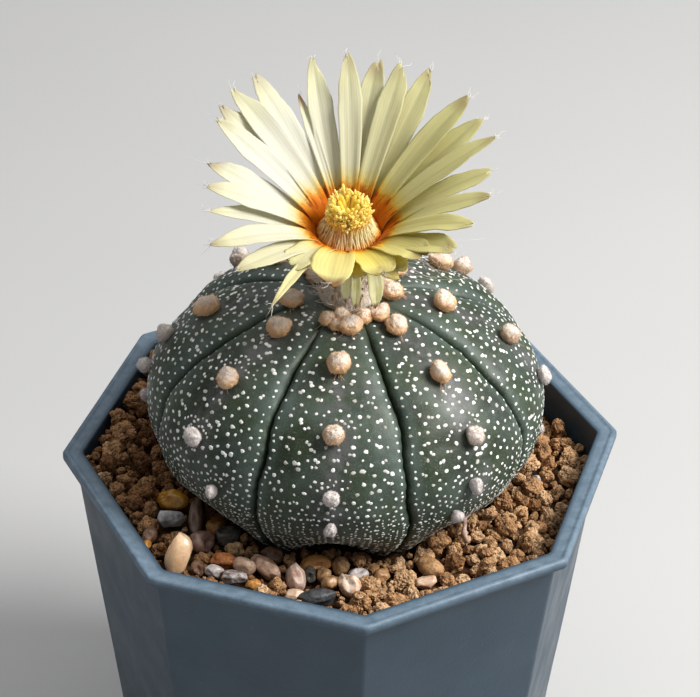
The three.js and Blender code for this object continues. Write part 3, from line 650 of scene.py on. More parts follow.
def petal_material():
    paint = Paint("petals", Roughness=0.55, Specular_IOR_Level=0.2)
    along = paint.mark("along")
    # Petals in front turn a deeper yellow: a painted shade.
    lemon = paint.mix(paint.mark("gold"), (0.67, 0.63, 0.30), (0.84, 0.70, 0.15))
    # Petals on the flower's left are painted near white by the mark called cream: a painted highlight.
    body = paint.mix(paint.mark("cream"), lemon, (0.76, 0.75, 0.655))
    patchy = paint.ramp(paint.noise(4, 2), (0.3, 0.5), (0.6, 1.0))
    tip = paint.times(paint.ramp(along, (0.6, 0.0), (1.0, 0.6)), patchy)
    body = paint.mix(tip, body, (0.74, 0.72, 0.36))
    waver = paint.times(paint.noise(2.5, 2), 5.0)
    wave = paint.math("SINE", paint.plus(paint.times(paint.mark("across"), 30.0), waver))
    body = paint.shade(body, paint.ramp(paint.math("MULTIPLY_ADD", wave, 0.5), (0.0, 0.94), (1.0, 1.01)))
    middle = paint.ramp(paint.mark("edge"), (0.0, 0.90), (0.2, 1.0))
    body = paint.shade(body, middle)
    green = paint.ramp(paint.noise(2, 3), (0.3, (0.88, 0.84, 0.40)), (0.7, (0.98, 0.95, 0.68)))
    body = paint.mix(paint.mark("hanging"), body, green)
    wander = paint.times(paint.noise(0.9, 4, 0.65), 0.28)
    flame = paint.plus(paint.times(paint.mark("inward"), 0.1), paint.math("SUBTRACT", wander, 0.14))
    rim = paint.times(paint.math("POWER", paint.mark("edge"), 2.0), -0.10)
    under = paint.mark("under")
    flame = paint.plus(paint.plus(flame, rim), paint.plus(paint.mark("hanging"), under))
    keel = paint.times(under, paint.ramp(paint.mark("edge"), (0.1, 1.0), (0.65, 0.0)))
    keel = paint.times(keel, paint.ramp(paint.times(paint.mark("inward"), 0.1), (0.1, 0.85), (1.0, 0.0)))
    body = paint.mix(keel, body, (0.36, 0.20, 0.08))
    ember = paint.ramp(
        flame,
        (0.05, (0.80, 0.19, 0.004)),
        (0.34, (0.94, 0.26, 0.006)),
        (0.46, (0.99, 0.44, 0.04)),
        (0.56, (0.99, 0.74, 0.28)),
        (0.68, (0.99, 0.92, 0.66)),
        (0.88, (1.0, 1.0, 1.0)),
    )
    lane = paint.node(
        "ShaderNodeCombineXYZ",
        X=paint.times(paint.mark("across"), 2.4),
        Y=paint.times(paint.mark("inward"), 0.35),
        Z=paint.times(paint.mark("cream"), 40.0),
    )
    lanes = paint.node("ShaderNodeTexNoise", "Fac", Vector=lane, Scale=1.0, Detail=2.0)
    streak = paint.ramp(lanes, (0.5, 0.0), (0.62, 0.85))
    streak = paint.times(streak, paint.ramp(flame, (0.14, 0.0), (0.30, 1.0), (0.44, 1.0), (0.54, 0.0)))
    ember = paint.mix(streak, ember, (0.50, 0.07, 0.003))
    colour = paint.shade(body, ember)
    scorch = paint.times(paint.mark("scorch"), paint.ramp(along, (0.86, 0.0), (0.97, 1.0)))
    colour = paint.mix(scorch, colour, (0.30, 0.17, 0.07))
    paint.use("Base Color", colour)
    paint.bump(paint.plus(paint.times(wave, 0.4), paint.noise(0.8, 3)), 0.012)
    paint.let_through(0.36, colour)
    return paint.material


def throat_material():
    paint = Paint("throat", Roughness=0.6, Specular_IOR_Level=0.15)
    deep, flame, bright = (0.36, 0.075, 0.004), (0.60, 0.15, 0.006), (0.72, 0.20, 0.008)
    colour = paint.ramp(paint.mark("height"), (0.0, deep), (0.5, flame), (1.0, bright))
    streak = paint.ramp(paint.noise(0.9, 3, 0.6, stretch=(1, 1, 0.15)), (0.4, 0.6), (0.6, 1.1))
    colour = paint.shade(colour, streak)
    marbling = paint.noise(1.4, 4, 0.6, stretch=(1, 1, 0.3))
    rind = paint.ramp(marbling, (0.36, (0.34, 0.17, 0.07)), (0.6, (0.56, 0.52, 0.20)))
    outer = paint.mark("outer")
    colour = paint.mix(paint.ramp(outer, (0.1, 0.0), (0.5, 1.0)), colour, (0.76, 0.62, 0.15))
    paint.use("Base Color", paint.mix(paint.ramp(outer, (0.6, 0.0), (0.9, 1.0)), colour, rind))
    paint.bump(paint.noise(0.5, 3, 0.6, stretch=(1, 1, 0.2)), 0.1)
    return paint.material


def filament_material():
    paint = Paint("filaments", Roughness=0.5, Specular_IOR_Level=0.25)
    colour = paint.ramp(
        paint.mark("along"),
        (0.0, (0.90, 0.29, 0.015)),
        (0.13, (1.0, 0.58, 0.11)),
        (0.28, (1.0, 0.86, 0.44)),
        (0.5, (1.0, 0.97, 0.70)),
        (0.72, (1.0, 0.93, 0.60)),
        (0.9, (1.0, 0.78, 0.22)),
    )
    paint.use("Base Color", colour)
    paint.let_through(0.45, colour)
    return paint.material


def pollen_material(name, dark, light):
    paint = Paint(name, Roughness=0.8, Specular_IOR_Level=0.2)
    colour = paint.ramp(paint.noise(0.5, 3), (0.3, dark), (0.7, light))
    paint.use("Base Color", colour)
    paint.bump(paint.noise(0.15, 2), 0.05)
    paint.let_through(0.5, colour)
    return paint.material


def scale_material():
    paint = Paint("tube_scales", Roughness=0.6)
    along = paint.mark("along")
    low = paint.ramp(
        along,
        (0.0, (0.88, 0.76, 0.64)),
        (0.6, (0.80, 0.66, 0.48)),
        (0.88, (0.42, 0.22, 0.10)),
        (1.0, (0.12, 0.05, 0.02)),
    )
    high = paint.ramp(
        along,
        (0.0, (0.50, 0.48, 0.20)),
        (0.5, (0.60, 0.55, 0.22)),
        (0.8, (0.42, 0.19, 0.08)),
        (1.0, (0.22, 0.08, 0.03)),
    )
    paint.use("Base Color", paint.mix(paint.mark("high"), low, high))
    paint.bump(paint.noise(0.4, 3, 0.6), 0.08)
    return paint.material


def floor_material():
    paint = Paint("floor", Roughness=0.85)
    colour = paint.ramp(paint.noise(180, 3), (0.3, (0.46, 0.46, 0.455)), (0.7, (0.48, 0.48, 0.475)))
    paint.use("Base Color", colour)
    return paint.material


# ---- Pot ----


def pot_ring(corner_radius, height, rounding=CORNER_ROUNDING):
    """One level of the eight-sided pot, with each corner rounded."""
    set_back = rounding / math.cos(math.radians(HALF_SIDE))
    ring = []
    for corner in range(POT_SIDES):
        azimuth = -90 + corner * 2 * HALF_SIDE
        centre = polar(corner_radius - set_back, azimuth, height)
        for swing in np.linspace(-HALF_SIDE, HALF_SIDE, CORNER_POINTS):
            ring.append(centre + polar(rounding, azimuth + swing, 0))
    return np.array(ring)


def wall_radius(height):
    return WALL_BOTTOM + (WALL_TOP - WALL_BOTTOM) * height / (RIM - LIP_HEIGHT)


def arc(centre, radius, start, end, steps):
    """Points of a rounded edge in the plane of radius and height."""
    angles = np.radians(np.linspace(start, end, steps))
    return [(centre[0] + radius * math.cos(angle), centre[1] + radius * math.sin(angle)) for angle in angles]


def make_pot():
    """The moulded shell, as one profile from the middle of the base out, over the rim and down inside."""
    lip = RIM - LIP_HEIGHT
    ring = WALL_BOTTOM - STANDING_RING
    band = RIM - RIM_BAND_DROP
    outer = RIM_CORNER + 0.1
    floor_edge = WALL_BOTTOM - WALL
    profile = [(6, FOOT_RECESS), (ring - 3, FOOT_RECESS), (ring - 1.3, FOOT_RECESS - 0.1)]
    profile += [(ring - 0.4, 0.3), (ring, 0.02), (ring + 0.2, 0), (WALL_BOTTOM - 1.1, 0)]
    profile += arc((WALL_BOTTOM - 1.0, 1.0), 1.0, -80, 0, 6)
    profile += [(wall_radius(height), height) for height in np.linspace(3, lip - 0.7, 14)]
    profile += [(WALL_TOP + 0.05, lip - 0.3), (WALL_TOP + 0.3, lip - 0.05)]
    profile += arc((outer - LIP_ROUNDING, lip + LIP_ROUNDING), LIP_ROUNDING, -90, 0, 5)
    profile += arc((outer - RIM_BEAD, RIM - RIM_BEAD), RIM_BEAD, 0, 130, 10)
    profile += [(outer - 2 * RIM_BEAD - 0.2, band + 0.02), (RIM_INNER + 1.2, band), (RIM_INNER + 0.7, band)]
    profile += arc((RIM_INNER + LIP_ROUNDING, band - LIP_ROUNDING), LIP_ROUNDING, 80, 180, 5)
    profile += [(wall_radius(height) - WALL, height) for height in np.linspace(RIM - 1.4, FLOOR + 2, 14)]
    profile += [(floor_edge - 0.4, FLOOR + 0.5), (floor_edge - 1.4, FLOOR), (6, FLOOR)]
    rings = [pot_ring(max(radius, 3), height, min(CORNER_ROUNDING, radius / 3)) for radius, height in profile]
    shell = loft(rings)
    points = shell.points
    reach = np.hypot(points[:, 0], points[:, 1])
    # The edge mark picks out the rim's top and bead, for their wear and their painted highlight.
    bead = smooth(points[:, 2], RIM - 1.6, RIM - 0.3) * smooth(reach, RIM_INNER, RIM_INNER + 1.5)
    shell.marks["edge"] = bead
    ease = rough(points, 26, 2, 4.0) * 0.10
    keep = smooth(points[:, 2], 1.5, 6)
    shell.points = points + unit(points * [1, 1, 0]) * (ease * keep)[:, None]
    cut_drain_holes(make_piece("pot_shell", shell, pot_material(), "pot_plastic", "pot"))


def cut_drain_holes(pot):
    """Drills the drain holes through the floor."""
    ring = polar(DRAIN_RADIUS, np.arange(0, FULL_TURN, 15), 0)
    drills = [loft([ring + [0, 0, -3], ring + [0, 0, 8]])]
    for azimuth in np.radians([0, 90, 180, 270]):
        x, y = DRAIN_CIRCLE * np.array([math.cos(azimuth), math.sin(azimuth)])
        drills.append(loft([ring + [x, y, -3], ring + [x, y, 8]]))
    drill = make_piece("drain_drill", merged(drills), pot.data.materials[0], "pot_plastic")
    cut = pot.modifiers.new("drain", "BOOLEAN")
    cut.operation = "DIFFERENCE"
    cut.solver = "EXACT"
    cut.object = drill
    bpy.context.view_layer.update()
    evaluated = pot.evaluated_get(bpy.context.evaluated_depsgraph_get())
    drilled = bpy.data.meshes.new_from_object(evaluated)
    pot.modifiers.clear()
    pot.data = drilled
    bpy.data.objects.remove(drill)


# ---- Stem ----


def wander(azimuth, angle):
    """How far the furrows stray sideways, in degrees."""
    azimuth = np.radians(azimuth)
    stray = 0.7 * np.sin(3 * azimuth + angle / 9) + 0.3 * np.sin(5 * azimuth + angle / 3.7)
    return (stray + 0.12 * np.sin(7 * azimuth + angle / 0.9)) * smooth(angle, 8, 25)


def across_rib(azimuth):
    turned = (np.asarray(azimuth, float) - FIRST_RIB) / (2 * HALF_RIB)
    return 2 * (turned - np.round(turned))


def stem_points(azimuth, angle, rumple=True):
    """Points of the skin, and how far each lies from its furrow."""
    azimuth, angle = np.broadcast_arrays(np.asarray(azimuth, float), np.asarray(angle, float))
    side = np.abs(across_rib(azimuth - wander(azimuth, angle)))
    lift, spread = np.cos(np.radians(angle)), np.sin(np.radians(angle))
    half_height = np.where(lift > 0, UPPER_HEIGHT, LOWER_HEIGHT)
    outward = unit(np.stack([spread / STEM_RADIUS, lift / half_height], axis=-1))
    radius = STEM_RADIUS * spread
    from_furrow = (1 - side) * math.radians(HALF_RIB) * radius
    inward = np.clip(1 - from_furrow / FURROW_WIDTH, 0, 1)
    cushion = 1 - np.sqrt(1 - (0.985 * inward) ** 2)
    slit = np.exp(-((from_furrow / SLIT_WIDTH) ** 2))
    furrow = smooth(angle, 5, 34) * FURROW_DEPTH * cushion + smooth(angle, 14, 52) * SLIT_DEPTH * slit
    roll = SHOULDER_ROLL * smooth(angle, 10, 40) * side ** 4
    bowl = np.maximum(0, 1 - (side / 0.85) ** 2) ** 1.2
    valley = LOW_VALLEY * smooth(angle, 96, 126) * bowl
    relief = -furrow - roll - valley
    dip = np.where(angle < 90, CROWN_DIP * np.exp(-((radius / CROWN_DIP_RADIUS) ** 2)), 0)
    height = RIM + EQUATOR + half_height * lift - dip + outward[..., 1] * relief
    points = polar(radius + outward[..., 0] * relief, azimuth, height)
    points[..., 0] += STEM_X
    if rumple:
        flat = points.reshape(-1, 3)
        swell = (rough(flat, 9, 2, 2.0) * 0.32 + rough(flat, 3.2, 2, 5.0) * 0.08).reshape(angle.shape)
        ease = smooth(angle, 12, 30)
        points[..., 2] += outward[..., 1] * swell * ease
        points[..., :2] += polar(outward[..., 0] * swell * ease, azimuth, 0)[..., :2]
    return points, from_furrow


def stem_normals(azimuth, angle):
    step = 0.25
    east = stem_points(azimuth + step, angle, False)[0] - stem_points(azimuth - step, angle, False)[0]
    south = stem_points(azimuth, angle + step, False)[0] - stem_points(azimuth, angle - step, False)[0]
    return unit(np.cross(south, east))


def rib_azimuths(per_rib):
    """Azimuths round the stem, closer together beside the furrows."""
    share = np.arange(per_rib) / per_rib
    across = 0.78 * -np.cos(np.pi * share) + 0.22 * (2 * share - 1)
    return np.concatenate([FIRST_RIB + (2 * rib + across) * HALF_RIB for rib in range(RIBS)])


def make_skin():
    azimuth = rib_azimuths(60)
    angles = np.concatenate([np.arange(149, 20, -0.65), np.arange(20, 1.2, -0.8)])
    grid_azimuth, grid_angle = np.meshgrid(azimuth, angles)
    grid_azimuth = grid_azimuth + wander(grid_azimuth, grid_angle)
    skin, from_furrow = stem_points(grid_azimuth, grid_angle)
    start = azimuth[0]
    roots = []
    for radius, level in ROOT:
        ring = polar(radius, start + np.arange(len(azimuth)) * FULL_TURN / len(azimuth), RIM + level)
        roots.append(ring + [STEM_X, 0, 0])
    rings = np.concatenate([np.array(roots), skin])
    below = np.zeros((len(ROOT), len(azimuth)))
    side = np.abs(across_rib(grid_azimuth - wander(grid_azimuth, grid_angle)))
    width = math.radians(HALF_RIB) * STEM_RADIUS * np.sin(np.radians(grid_angle))
    crest = np.concatenate([below, np.exp(-((side * width / 2.6) ** 2))])
    # Band about 1.6 mm from each furrow, for the painted highlight on the lips.
    shoulder = np.concatenate([below, np.exp(-(((from_furrow - 1.6) / 1.0) ** 2))])
    low = np.concatenate([below + 1, smooth(grid_angle, 100, 128)])
    patchy = 0.7 + 0.5 * rough(skin.reshape(-1, 3), 4, 2, 3.0).reshape(grid_angle.shape)
    # The slit line along the furrows, for the painted shade in them.
    slit = np.clip(patchy, 0.2, 1) * np.exp(-((from_furrow / 0.33) ** 2)) * smooth(grid_angle, 16, 60)
    shape = loft(rings, crest=crest, shoulder=shoulder, low=low, furrow=np.concatenate([below, slit]))
    make_piece("cactus_skin", shape, skin_material(), "cactus_skin", "cactus_body")


def level_radius(angle):
    """How far the round of the stem reaches from its axis at a polar angle."""
    return STEM_RADIUS * math.sin(math.radians(angle))


def fleck_places(draw):
    """Azimuth, angle, size and tint of each white fleck.

    They lie in arcs above the areoles, in a row beside each furrow, in fine rows low down and between these.
    """
    taken = {}
    places = []

    def near(point, reach):
        x, y, z = np.floor(point / FLECK_BOX).astype(int)
        for dx, dy, dz in NEIGHBOURS:
            for other in taken.get((x + dx, y + dy, z + dz), ()):
                if np.linalg.norm(other - point) < reach:
                    return True
        return False

    def put(azimuth, angle, point, size, tint, reach):
        if near(point, reach):
            return False
        taken.setdefault(tuple(np.floor(point / FLECK_BOX).astype(int)), []).append(point)
        places.append((azimuth, angle, size, tint))
        return True

    def put_kind(azimuth, angle, point, kind):
        least, more, reach = kind
        put(azimuth, angle, point, least + more * draw.random(), draw.random(), reach)

    areoles = []
    for rib, angles in enumerate(AREOLES):
        for angle in angles:
            middle, size = areole_azimuth(rib, angle), areole_radius(angle)
            areoles.append((stem_points(middle, angle, False)[0], size + 0.7))
            if not 45 < angle < 92:
                continue
            for ring in (size + 1.6, size + 3.3):
                swing = -75 + 30 * draw.random()
                while swing < 55 + 15 * draw.random():
                    away = ring * (1 + 0.09 * draw.normal())
                    up = math.degrees(away * math.cos(math.radians(swing)) / STEM_RADIUS)
                    aside = away * math.sin(math.radians(swing)) / level_radius(angle)
                    azimuth = middle + math.degrees(aside)
                    if draw.random() < 0.8:
                        point = stem_points(azimuth, angle - up, False)[0]
                        put_kind(azimuth, angle - up, point, ARC_FLECK)
                    swing += math.degrees((0.78 + 0.5 * draw.random()) / ring)
    for rib in range(RIBS):
        for side in (-1, 1):
            angle = 17.0
            while angle < 118:
                inset = math.degrees((1.15 + 0.55 * draw.random()) / level_radius(angle))
                azimuth = FIRST_RIB + rib * 2 * HALF_RIB + side * (HALF_RIB - inset)
                azimuth += float(wander(azimuth, angle))
                put_kind(azimuth, angle, stem_points(azimuth, angle, False)[0], FURROW_FLECK)
                angle += math.degrees((1.3 + 1.5 * draw.random()) / STEM_RADIUS)
    for rib in range(RIBS):
        for column in range(-11, 12):
            share = column / 12 + 0.015 * draw.normal()
            angle = 92.0 + 7 * draw.random()
            while angle < 132:
                azimuth = FIRST_RIB + (2 * rib + share) * HALF_RIB
                azimuth += math.degrees(0.12 * draw.normal() / level_radius(angle))
                point = stem_points(azimuth, angle, False)[0]
                clear = all(np.linalg.norm(point - spot) > reach for spot, reach in areoles)
                if clear and draw.random() < 0.78:
                    put_kind(azimuth, angle, point, FOOT_FLECK)
                angle += math.degrees((0.66 + 0.4 * draw.random()) / STEM_RADIUS)
    angles = np.degrees(np.arccos(1 - 2 * (0.012 + 0.66 * draw.random(LOOSE_FLECKS))))
    azimuths = FULL_TURN * draw.random(LOOSE_FLECKS)
    points, from_furrow = stem_points(azimuths, angles, False)
    extra = draw.random((LOOSE_FLECKS, 4))
    for index in range(LOOSE_FLECKS):
        azimuth, angle, point = azimuths[index], angles[index], points[index]
        low = float(smooth(angle, 72, 100))
        if from_furrow[index] < 0.9 or any(np.linalg.norm(point - spot) < clear for spot, clear in areoles):
            continue
        reach = (1.3 + 0.55 * extra[index, 0]) * (1 - low) + 0.8 * low
        size = (0.28 + 0.17 * extra[index, 1]) * (1 - 0.38 * low)
        if not put(azimuth, angle, point, size, extra[index, 2], reach):
            continue
        if extra[index, 3] < 0.3:
            turn = math.radians(FULL_TURN * extra[index, 0])
            step = 0.74 * (1 - 0.35 * low)
            beside = azimuth + math.degrees(step * math.cos(turn) / level_radius(angle))
            below = angle + math.degrees(step * math.sin(turn) / STEM_RADIUS)
            twin = stem_points(beside, below, False)[0]
            put(beside, below, twin, size * 0.9, extra[index, 1], 0.8 * step)
    return np.array(places)


def make_flecks():
    draw = np.random.default_rng(5)
    places = fleck_places(draw)
    azimuth, angle, size, tint = places.T
    centre = stem_points(azimuth, angle)[0]
    normal = stem_normals(azimuth, angle)
    east = unit(np.cross([0, 0, 1.0], normal))
    south = np.cross(normal, east)
    count, sides = len(places), 7
    turns = np.arange(sides) * 2 * np.pi / sides
    uneven = 1 + 0.5 * (draw.random((count, sides)) - 0.5)
    low = smooth(angle, 90, 112)
    wide = size * (1 + 0.9 * low * draw.random(count) + 0.5 * (draw.random(count) - 0.3))
    tall = size * (1 - 0.25 * low)
    rings = []
    for reach, rise in ((1.0, -0.12), (0.88, 0.10), (0.5, 0.18)):
        flat = east[:, None] * (np.cos(turns) * uneven * reach * wide[:, None])[..., None]
        flat = flat + south[:, None] * (np.sin(turns) * uneven * reach * tall[:, None])[..., None]
        rings.append(centre[:, None] + flat + normal[:, None] * (rise * size)[:, None, None])
    top = centre + normal * (0.20 * size)[:, None]
    under = centre - normal * (0.12 * size)[:, None]
    points = np.concatenate([*rings, top[:, None], under[:, None]], axis=1)
    each = 3 * sides + 2
    start = np.arange(count)[:, None] * each
    here, following = np.arange(sides), (np.arange(sides) + 1) % sides
    quads = []
    for level in (0, 1):
        base = start + level * sides
        above = base + sides
        quads.append(np.stack([base + here, base + following, above + following, above + here], axis=2))
    last = start + 2 * sides
    peak = np.broadcast_to(start + 3 * sides, (count, sides))
    cap = np.stack([last + here, last + following, peak], axis=2)
    foot = np.stack([start + following, start + here, peak + 1], axis=2)
    faces = [np.concatenate(quads, axis=1).reshape(-1, 4), np.concatenate([cap, foot], axis=1).reshape(-1, 3)]
    shape = Shape(points.reshape(-1, 3), faces, tint=np.repeat(tint, each))
    make_piece("wool_flecks", shape, fleck_material(), "cactus_skin", "cactus_body")


def areole_azimuth(rib, angle):
    return FIRST_RIB + rib * FULL_TURN / RIBS + AREOLE_STRAYS.get((rib, angle), 0.0)


def areole_radius(angle):
    return AREOLE_RADIUS + (AREOLE_SMALLEST - AREOLE_RADIUS) * float(smooth(angle, 30, 100))


def tuft_places():
    places = []
    for rib, angles in enumerate(AREOLES):
        for angle in angles:
            places.append((areole_azimuth(rib, angle), angle, areole_radius(angle)))
    return places + CROWN_TUFTS + CROWN_PADS


def make_areoles():
    """Dense felted knobs on the crests, each with a fine nap and a few loose hairs below it."""
    draw = np.random.default_rng(8)
    sphere = ball(4)
    forms = []
    for form in range(9):
        points = sphere.points.copy()
        lumps = 0.34 * rough(points, 1.3, 1, form) + 0.11 * rough(points, 0.6, 2, form + 40)
        points *= (1 + lumps + 0.03 * rough(points, 0.25, 3, form + 20))[:, None]
        waist = 1 - 0.3 * smooth(-points[:, 2], -0.3, 0.7)
        points[:, :2] *= waist[:, None]
        forms.append(Shape(points, sphere.faces))
    knobs, naps, whiskers, nap_age, whisker_age = [], [], [], [], []
    for azimuth, angle, radius in tuft_places():
        skin = stem_points(azimuth, angle, False)[0]
        normal = stem_normals(np.array(azimuth), np.array(angle))
        age = float(smooth(angle + 8 * (draw.random() - 0.5), 34, 76))
        flat = 1 - float(smooth(angle, 20, 38))
        long = radius * (0.94 + 0.18 * draw.random() - 0.22 * flat)
        wide = radius * (0.88 + 0.14 * draw.random() + 0.08 * flat)
        tall = radius * (1.0 + 0.16 * draw.random() - 0.2 * flat)
        outward = unit(normal + np.array([0, 0, -0.1]))
        centre = skin + outward * (long * 0.5)
        side = unit(np.cross([0, 0, 1.0], outward))
        uphill = np.cross(outward, side)
        flip = 1 if draw.random() < 0.5 else -1
        turn = Matrix((side * flip, uphill * flip, outward)).transposed().to_4x4()
        place = Matrix.Translation(centre) @ turn @ Matrix.Diagonal((wide, tall, long, 1))
        knob = forms[draw.integers(len(forms))].moved(place)
        knob.marks["age"] = np.full(len(knob.points), age)
        # The tip mark is high on the top of each knob and a little towards the light at +X, for a painted
        # highlight.
        lit_top = unit(knob.points - centre) @ (0.45 * outward + [0.1, 0, 0.7])
        knob.marks["tip"] = smooth(lit_top, 0.15, 1.0)
        knobs.append(knob)
        picks = knob.points[draw.integers(0, len(knob.points), NAP_HAIRS)]
        away = unit(unit(picks - centre) + 0.6 * draw.normal(size=(NAP_HAIRS, 3)))
        reach = (0.06 + 0.24 * draw.random(NAP_HAIRS))[:, None]
        ends = picks + unit(away + [0, 0, -0.25]) * reach
        naps.append(np.stack([picks - away * 0.08, picks + away * reach * 0.5, ends], axis=1))
        nap_age.append(np.full(NAP_HAIRS, age))
        loose = draw.integers(2, 7)
        foot = np.repeat((centre - outward * long * 0.3 - uphill * tall * 0.5)[None], loose, axis=0)
        way = unit(-uphill * 0.9 + normal * 0.12 + 0.45 * draw.normal(size=(loose, 3)))
        hang = way * (radius * (0.7 + 0.6 * draw.random((loose, 1))))
        curl = 0.22 * draw.normal(size=(loose, 3))
        stations = [foot, foot + hang * 0.45 + normal * 0.25]
        stations += [foot + hang * 0.8 + curl, foot + hang + curl * 1.6]
        whiskers.append(np.stack(stations, axis=1))
        whisker_age.append(np.full(loose, age))
    ramp = (
        (0.0, (0.78, 0.47, 0.23)),
        (0.35, (0.66, 0.43, 0.25)),
        (0.65, (0.56, 0.44, 0.35)),
        (1.0, (0.64, 0.58, 0.56)),
    )
    # The tips colour is the painted highlight on the knobs' tops.
    wool = wool_material("areole_wool", ramp, 0.16, tips=(0.88, 0.82, 0.76))
    make_piece("areole_knobs", merged(knobs), wool, "cactus_skin", "cactus_body")
    nap = hairs(np.concatenate(naps), [0.036, 0.03, 0.012], np.concatenate(nap_age))
    hair = wool_material("areole_hair", ramp, 0.0)
    make_piece("areole_nap", nap, hair, "cactus_skin", "cactus_body")
    stray = hairs(np.concatenate(whiskers), [0.06, 0.05, 0.035, 0.015], np.concatenate(whisker_age))
    make_piece("areole_whiskers", stray, hair, "cactus_skin", "cactus_body")


# ---- Potting mix and pebbles ----


def mix_level(x, y):
    azimuth = np.degrees(np.arctan2(y, x))
    tilt = MIX_TILT * np.hypot(x, y) / RIM_INNER * np.cos(np.radians(azimuth - MIX_LOW_AZIMUTH))
    return RIM + MIX_LEVEL - tilt + MIX_RIPPLE * np.sin(x / 5) * np.cos(y / 6)


def stem_radius_at(x, y, height):
    """How far the stem reaches from its axis at a height, towards a point."""
    drop = np.clip((height - RIM - EQUATOR) / LOWER_HEIGHT, -0.999, 0.999)
    side = np.abs(across_rib(np.degrees(np.arctan2(y, x - STEM_X))))
    angle = 90 + np.degrees(np.arcsin(-drop))
    valley = LOW_VALLEY * smooth(angle, 96, 126) * np.maximum(0, 1 - (side / 0.85) ** 2)
    return STEM_RADIUS * np.sqrt(1 - drop ** 2) - valley


def wall_apothem(height):
    return (wall_radius(height) - WALL) * math.cos(math.radians(HALF_SIDE))


def wall_room(x, y):
    """Distance from the axis measured square to the nearest wall."""
    azimuth = np.degrees(np.arctan2(y, x)) + 90 - HALF_SIDE
    swing = np.radians((azimuth + HALF_SIDE) % (2 * HALF_SIDE) - HALF_SIDE)
    return np.hypot(x, y) * np.cos(swing)


def finer(ring):
    """The same ring with four more points on each edge."""
    following = np.roll(ring, -1, axis=0)
    return np.concatenate([np.linspace(one, other, 5, endpoint=False) for one, other in zip(ring, following)])


def make_bed():
    """The mix below the loose granules: a closed block that follows the pot's inside."""
    clear = 0.35
    low = FLOOR + 0.3
    edge = RIM + MIX_LEVEL - 2.6

    def level_ring(wall_height, height, inset=0.0):
        return pot_ring(wall_radius(wall_height) - WALL - clear - inset, height)

    rings = [level_ring(low + 1, low, 1.4), level_ring(low + 2, low + 1.5), level_ring(edge, edge)]
    rings = [finer(ring) for ring in rings]
    outer = level_ring(edge, edge + 1, 0.3)
    for share in np.linspace(1, 0.05, 90):
        ring = finer(outer) * [share, share, 1]
        ring[:, 2] = mix_level(ring[:, 0], ring[:, 1]) - 1.2 + 0.7 * rough(ring, 1.3, 3, 1.0)
        under = np.hypot(ring[:, 0] - STEM_X, ring[:, 1]) < 24
        ring[under, 2] = np.minimum(ring[under, 2], RIM - 14)
        rings.append(ring)
    make_piece("mix_bed", loft(rings), bed_material(), "granules", "potting_mix")


def granule_forms(count, detail):
    """Lumpy, pitted grains of baked clay, as if stuck together from crumbs."""
    sphere = ball(detail)
    forms = []
    for form in range(count):
        points = sphere.points
        planes = unit(np.random.default_rng(form + 700).normal(size=(8, 3)))
        flats = 0.7 * np.maximum(points @ planes.T - 0.8, 0).sum(axis=1)
        lumps = 0.42 * (0.3 - crumbs(points, 0.85, form) ** 2)
        lumps = lumps + 0.16 * rough(points, 0.8, 2, form + 40) - flats
        pits = 0.16 * (0.25 - crumbs(points, 0.22, form + 20) ** 2) + 0.08 * rough(points, 0.16, 4, form + 80)
        relief = lumps + pits
        # The pit mark is low in the hollows and high on the lumps, for the painted shade and highlight of the
        # granules.
        pit = np.clip(0.5 + 1.3 * (lumps - lumps.mean()) + 3.5 * (pits - pits.mean()), 0, 1)
        forms.append(Shape(points * (1 + relief)[:, None] * [1.1, 1.0, 0.88], sphere.faces, pit=pit))
    return forms


def settle(draw, stones):
    """Places for the granules, big ones first, each resting among those already there."""
    placed = []

    def clear_of_stones(x, y, radius):
        return all(math.hypot(x - sx, y - sy) > reach + 0.75 * radius for sx, sy, reach in stones)

    def fits(x, y, radius, spacing):
        return all(math.hypot(x - other[0], y - other[1]) > spacing * (radius + other[3]) for other in placed)

    def add(count, low, high, spacing, stack):
        tries = 0
        made = 0
        while made < count and tries < count * 60:
            tries += 1
            reach = RIM_INNER * math.sqrt(draw.random())
            azimuth = 2 * math.pi * draw.random()
            x, y = reach * math.cos(azimuth), reach * math.sin(azimuth)
            radius = low + (high - low) * draw.random() ** 1.5
            level = float(mix_level(x, y)) + 0.1 * radius
            if not clear_of_stones(x, y, radius):
                continue
            if stack:
                for ox, oy, oz, other in placed:
                    gap = math.hypot(x - ox, y - oy)
                    touch = (radius + other) * 0.8
                    if gap < touch:
                        level = max(level, oz + math.sqrt(touch * touch - gap * gap))
                if level + 0.6 * radius > float(mix_level(x, y)) + MIX_HEAP:
                    continue
            elif not fits(x, y, radius, spacing):
                continue
            if wall_room(x, y) + radius * 0.92 > wall_apothem(level):
                continue
            if math.hypot(x - STEM_X, y) - radius * 0.8 < stem_radius_at(x, y, level + radius * 0.5):
                continue
            placed.append((x, y, level, radius))
            made += 1

    for granules in GRANULE_PASSES:
        add(*granules)
    return placed


def make_granules(stones):
    draw = np.random.default_rng(21)
    fine = granule_forms(9, 5)
    plain = granule_forms(8, 4)
    small = granule_forms(8, 3)
    shapes = []
    for x, y, z, radius in settle(draw, stones):
        turn = facing(draw.normal(size=3), TURN_RADIANS * draw.random())
        stretch = 1 + 0.3 * (draw.random(3) - 0.5)
        forms = small if radius < 1.0 else (fine if radius > 1.9 and y < 12 else plain)
        place = Matrix.Translation((x, y, z)) @ turn @ Matrix.Diagonal((*(radius * stretch), 1))
        grain = forms[draw.integers(len(forms))].moved(place)
        # Granules towards the left are darker: a painted shade on the side away from the light.
        shade_on_left = smooth(-x, -5, 35)
        tint = np.clip(draw.normal(0.73, 0.20) - 0.34 * shade_on_left, 0.05, 1)
        grain.marks["tint"] = np.full(len(grain.points), tint)
        shapes.append(grain)
    make_piece("granule_crumbs", merged(shapes), granule_material(), "granules", "potting_mix")


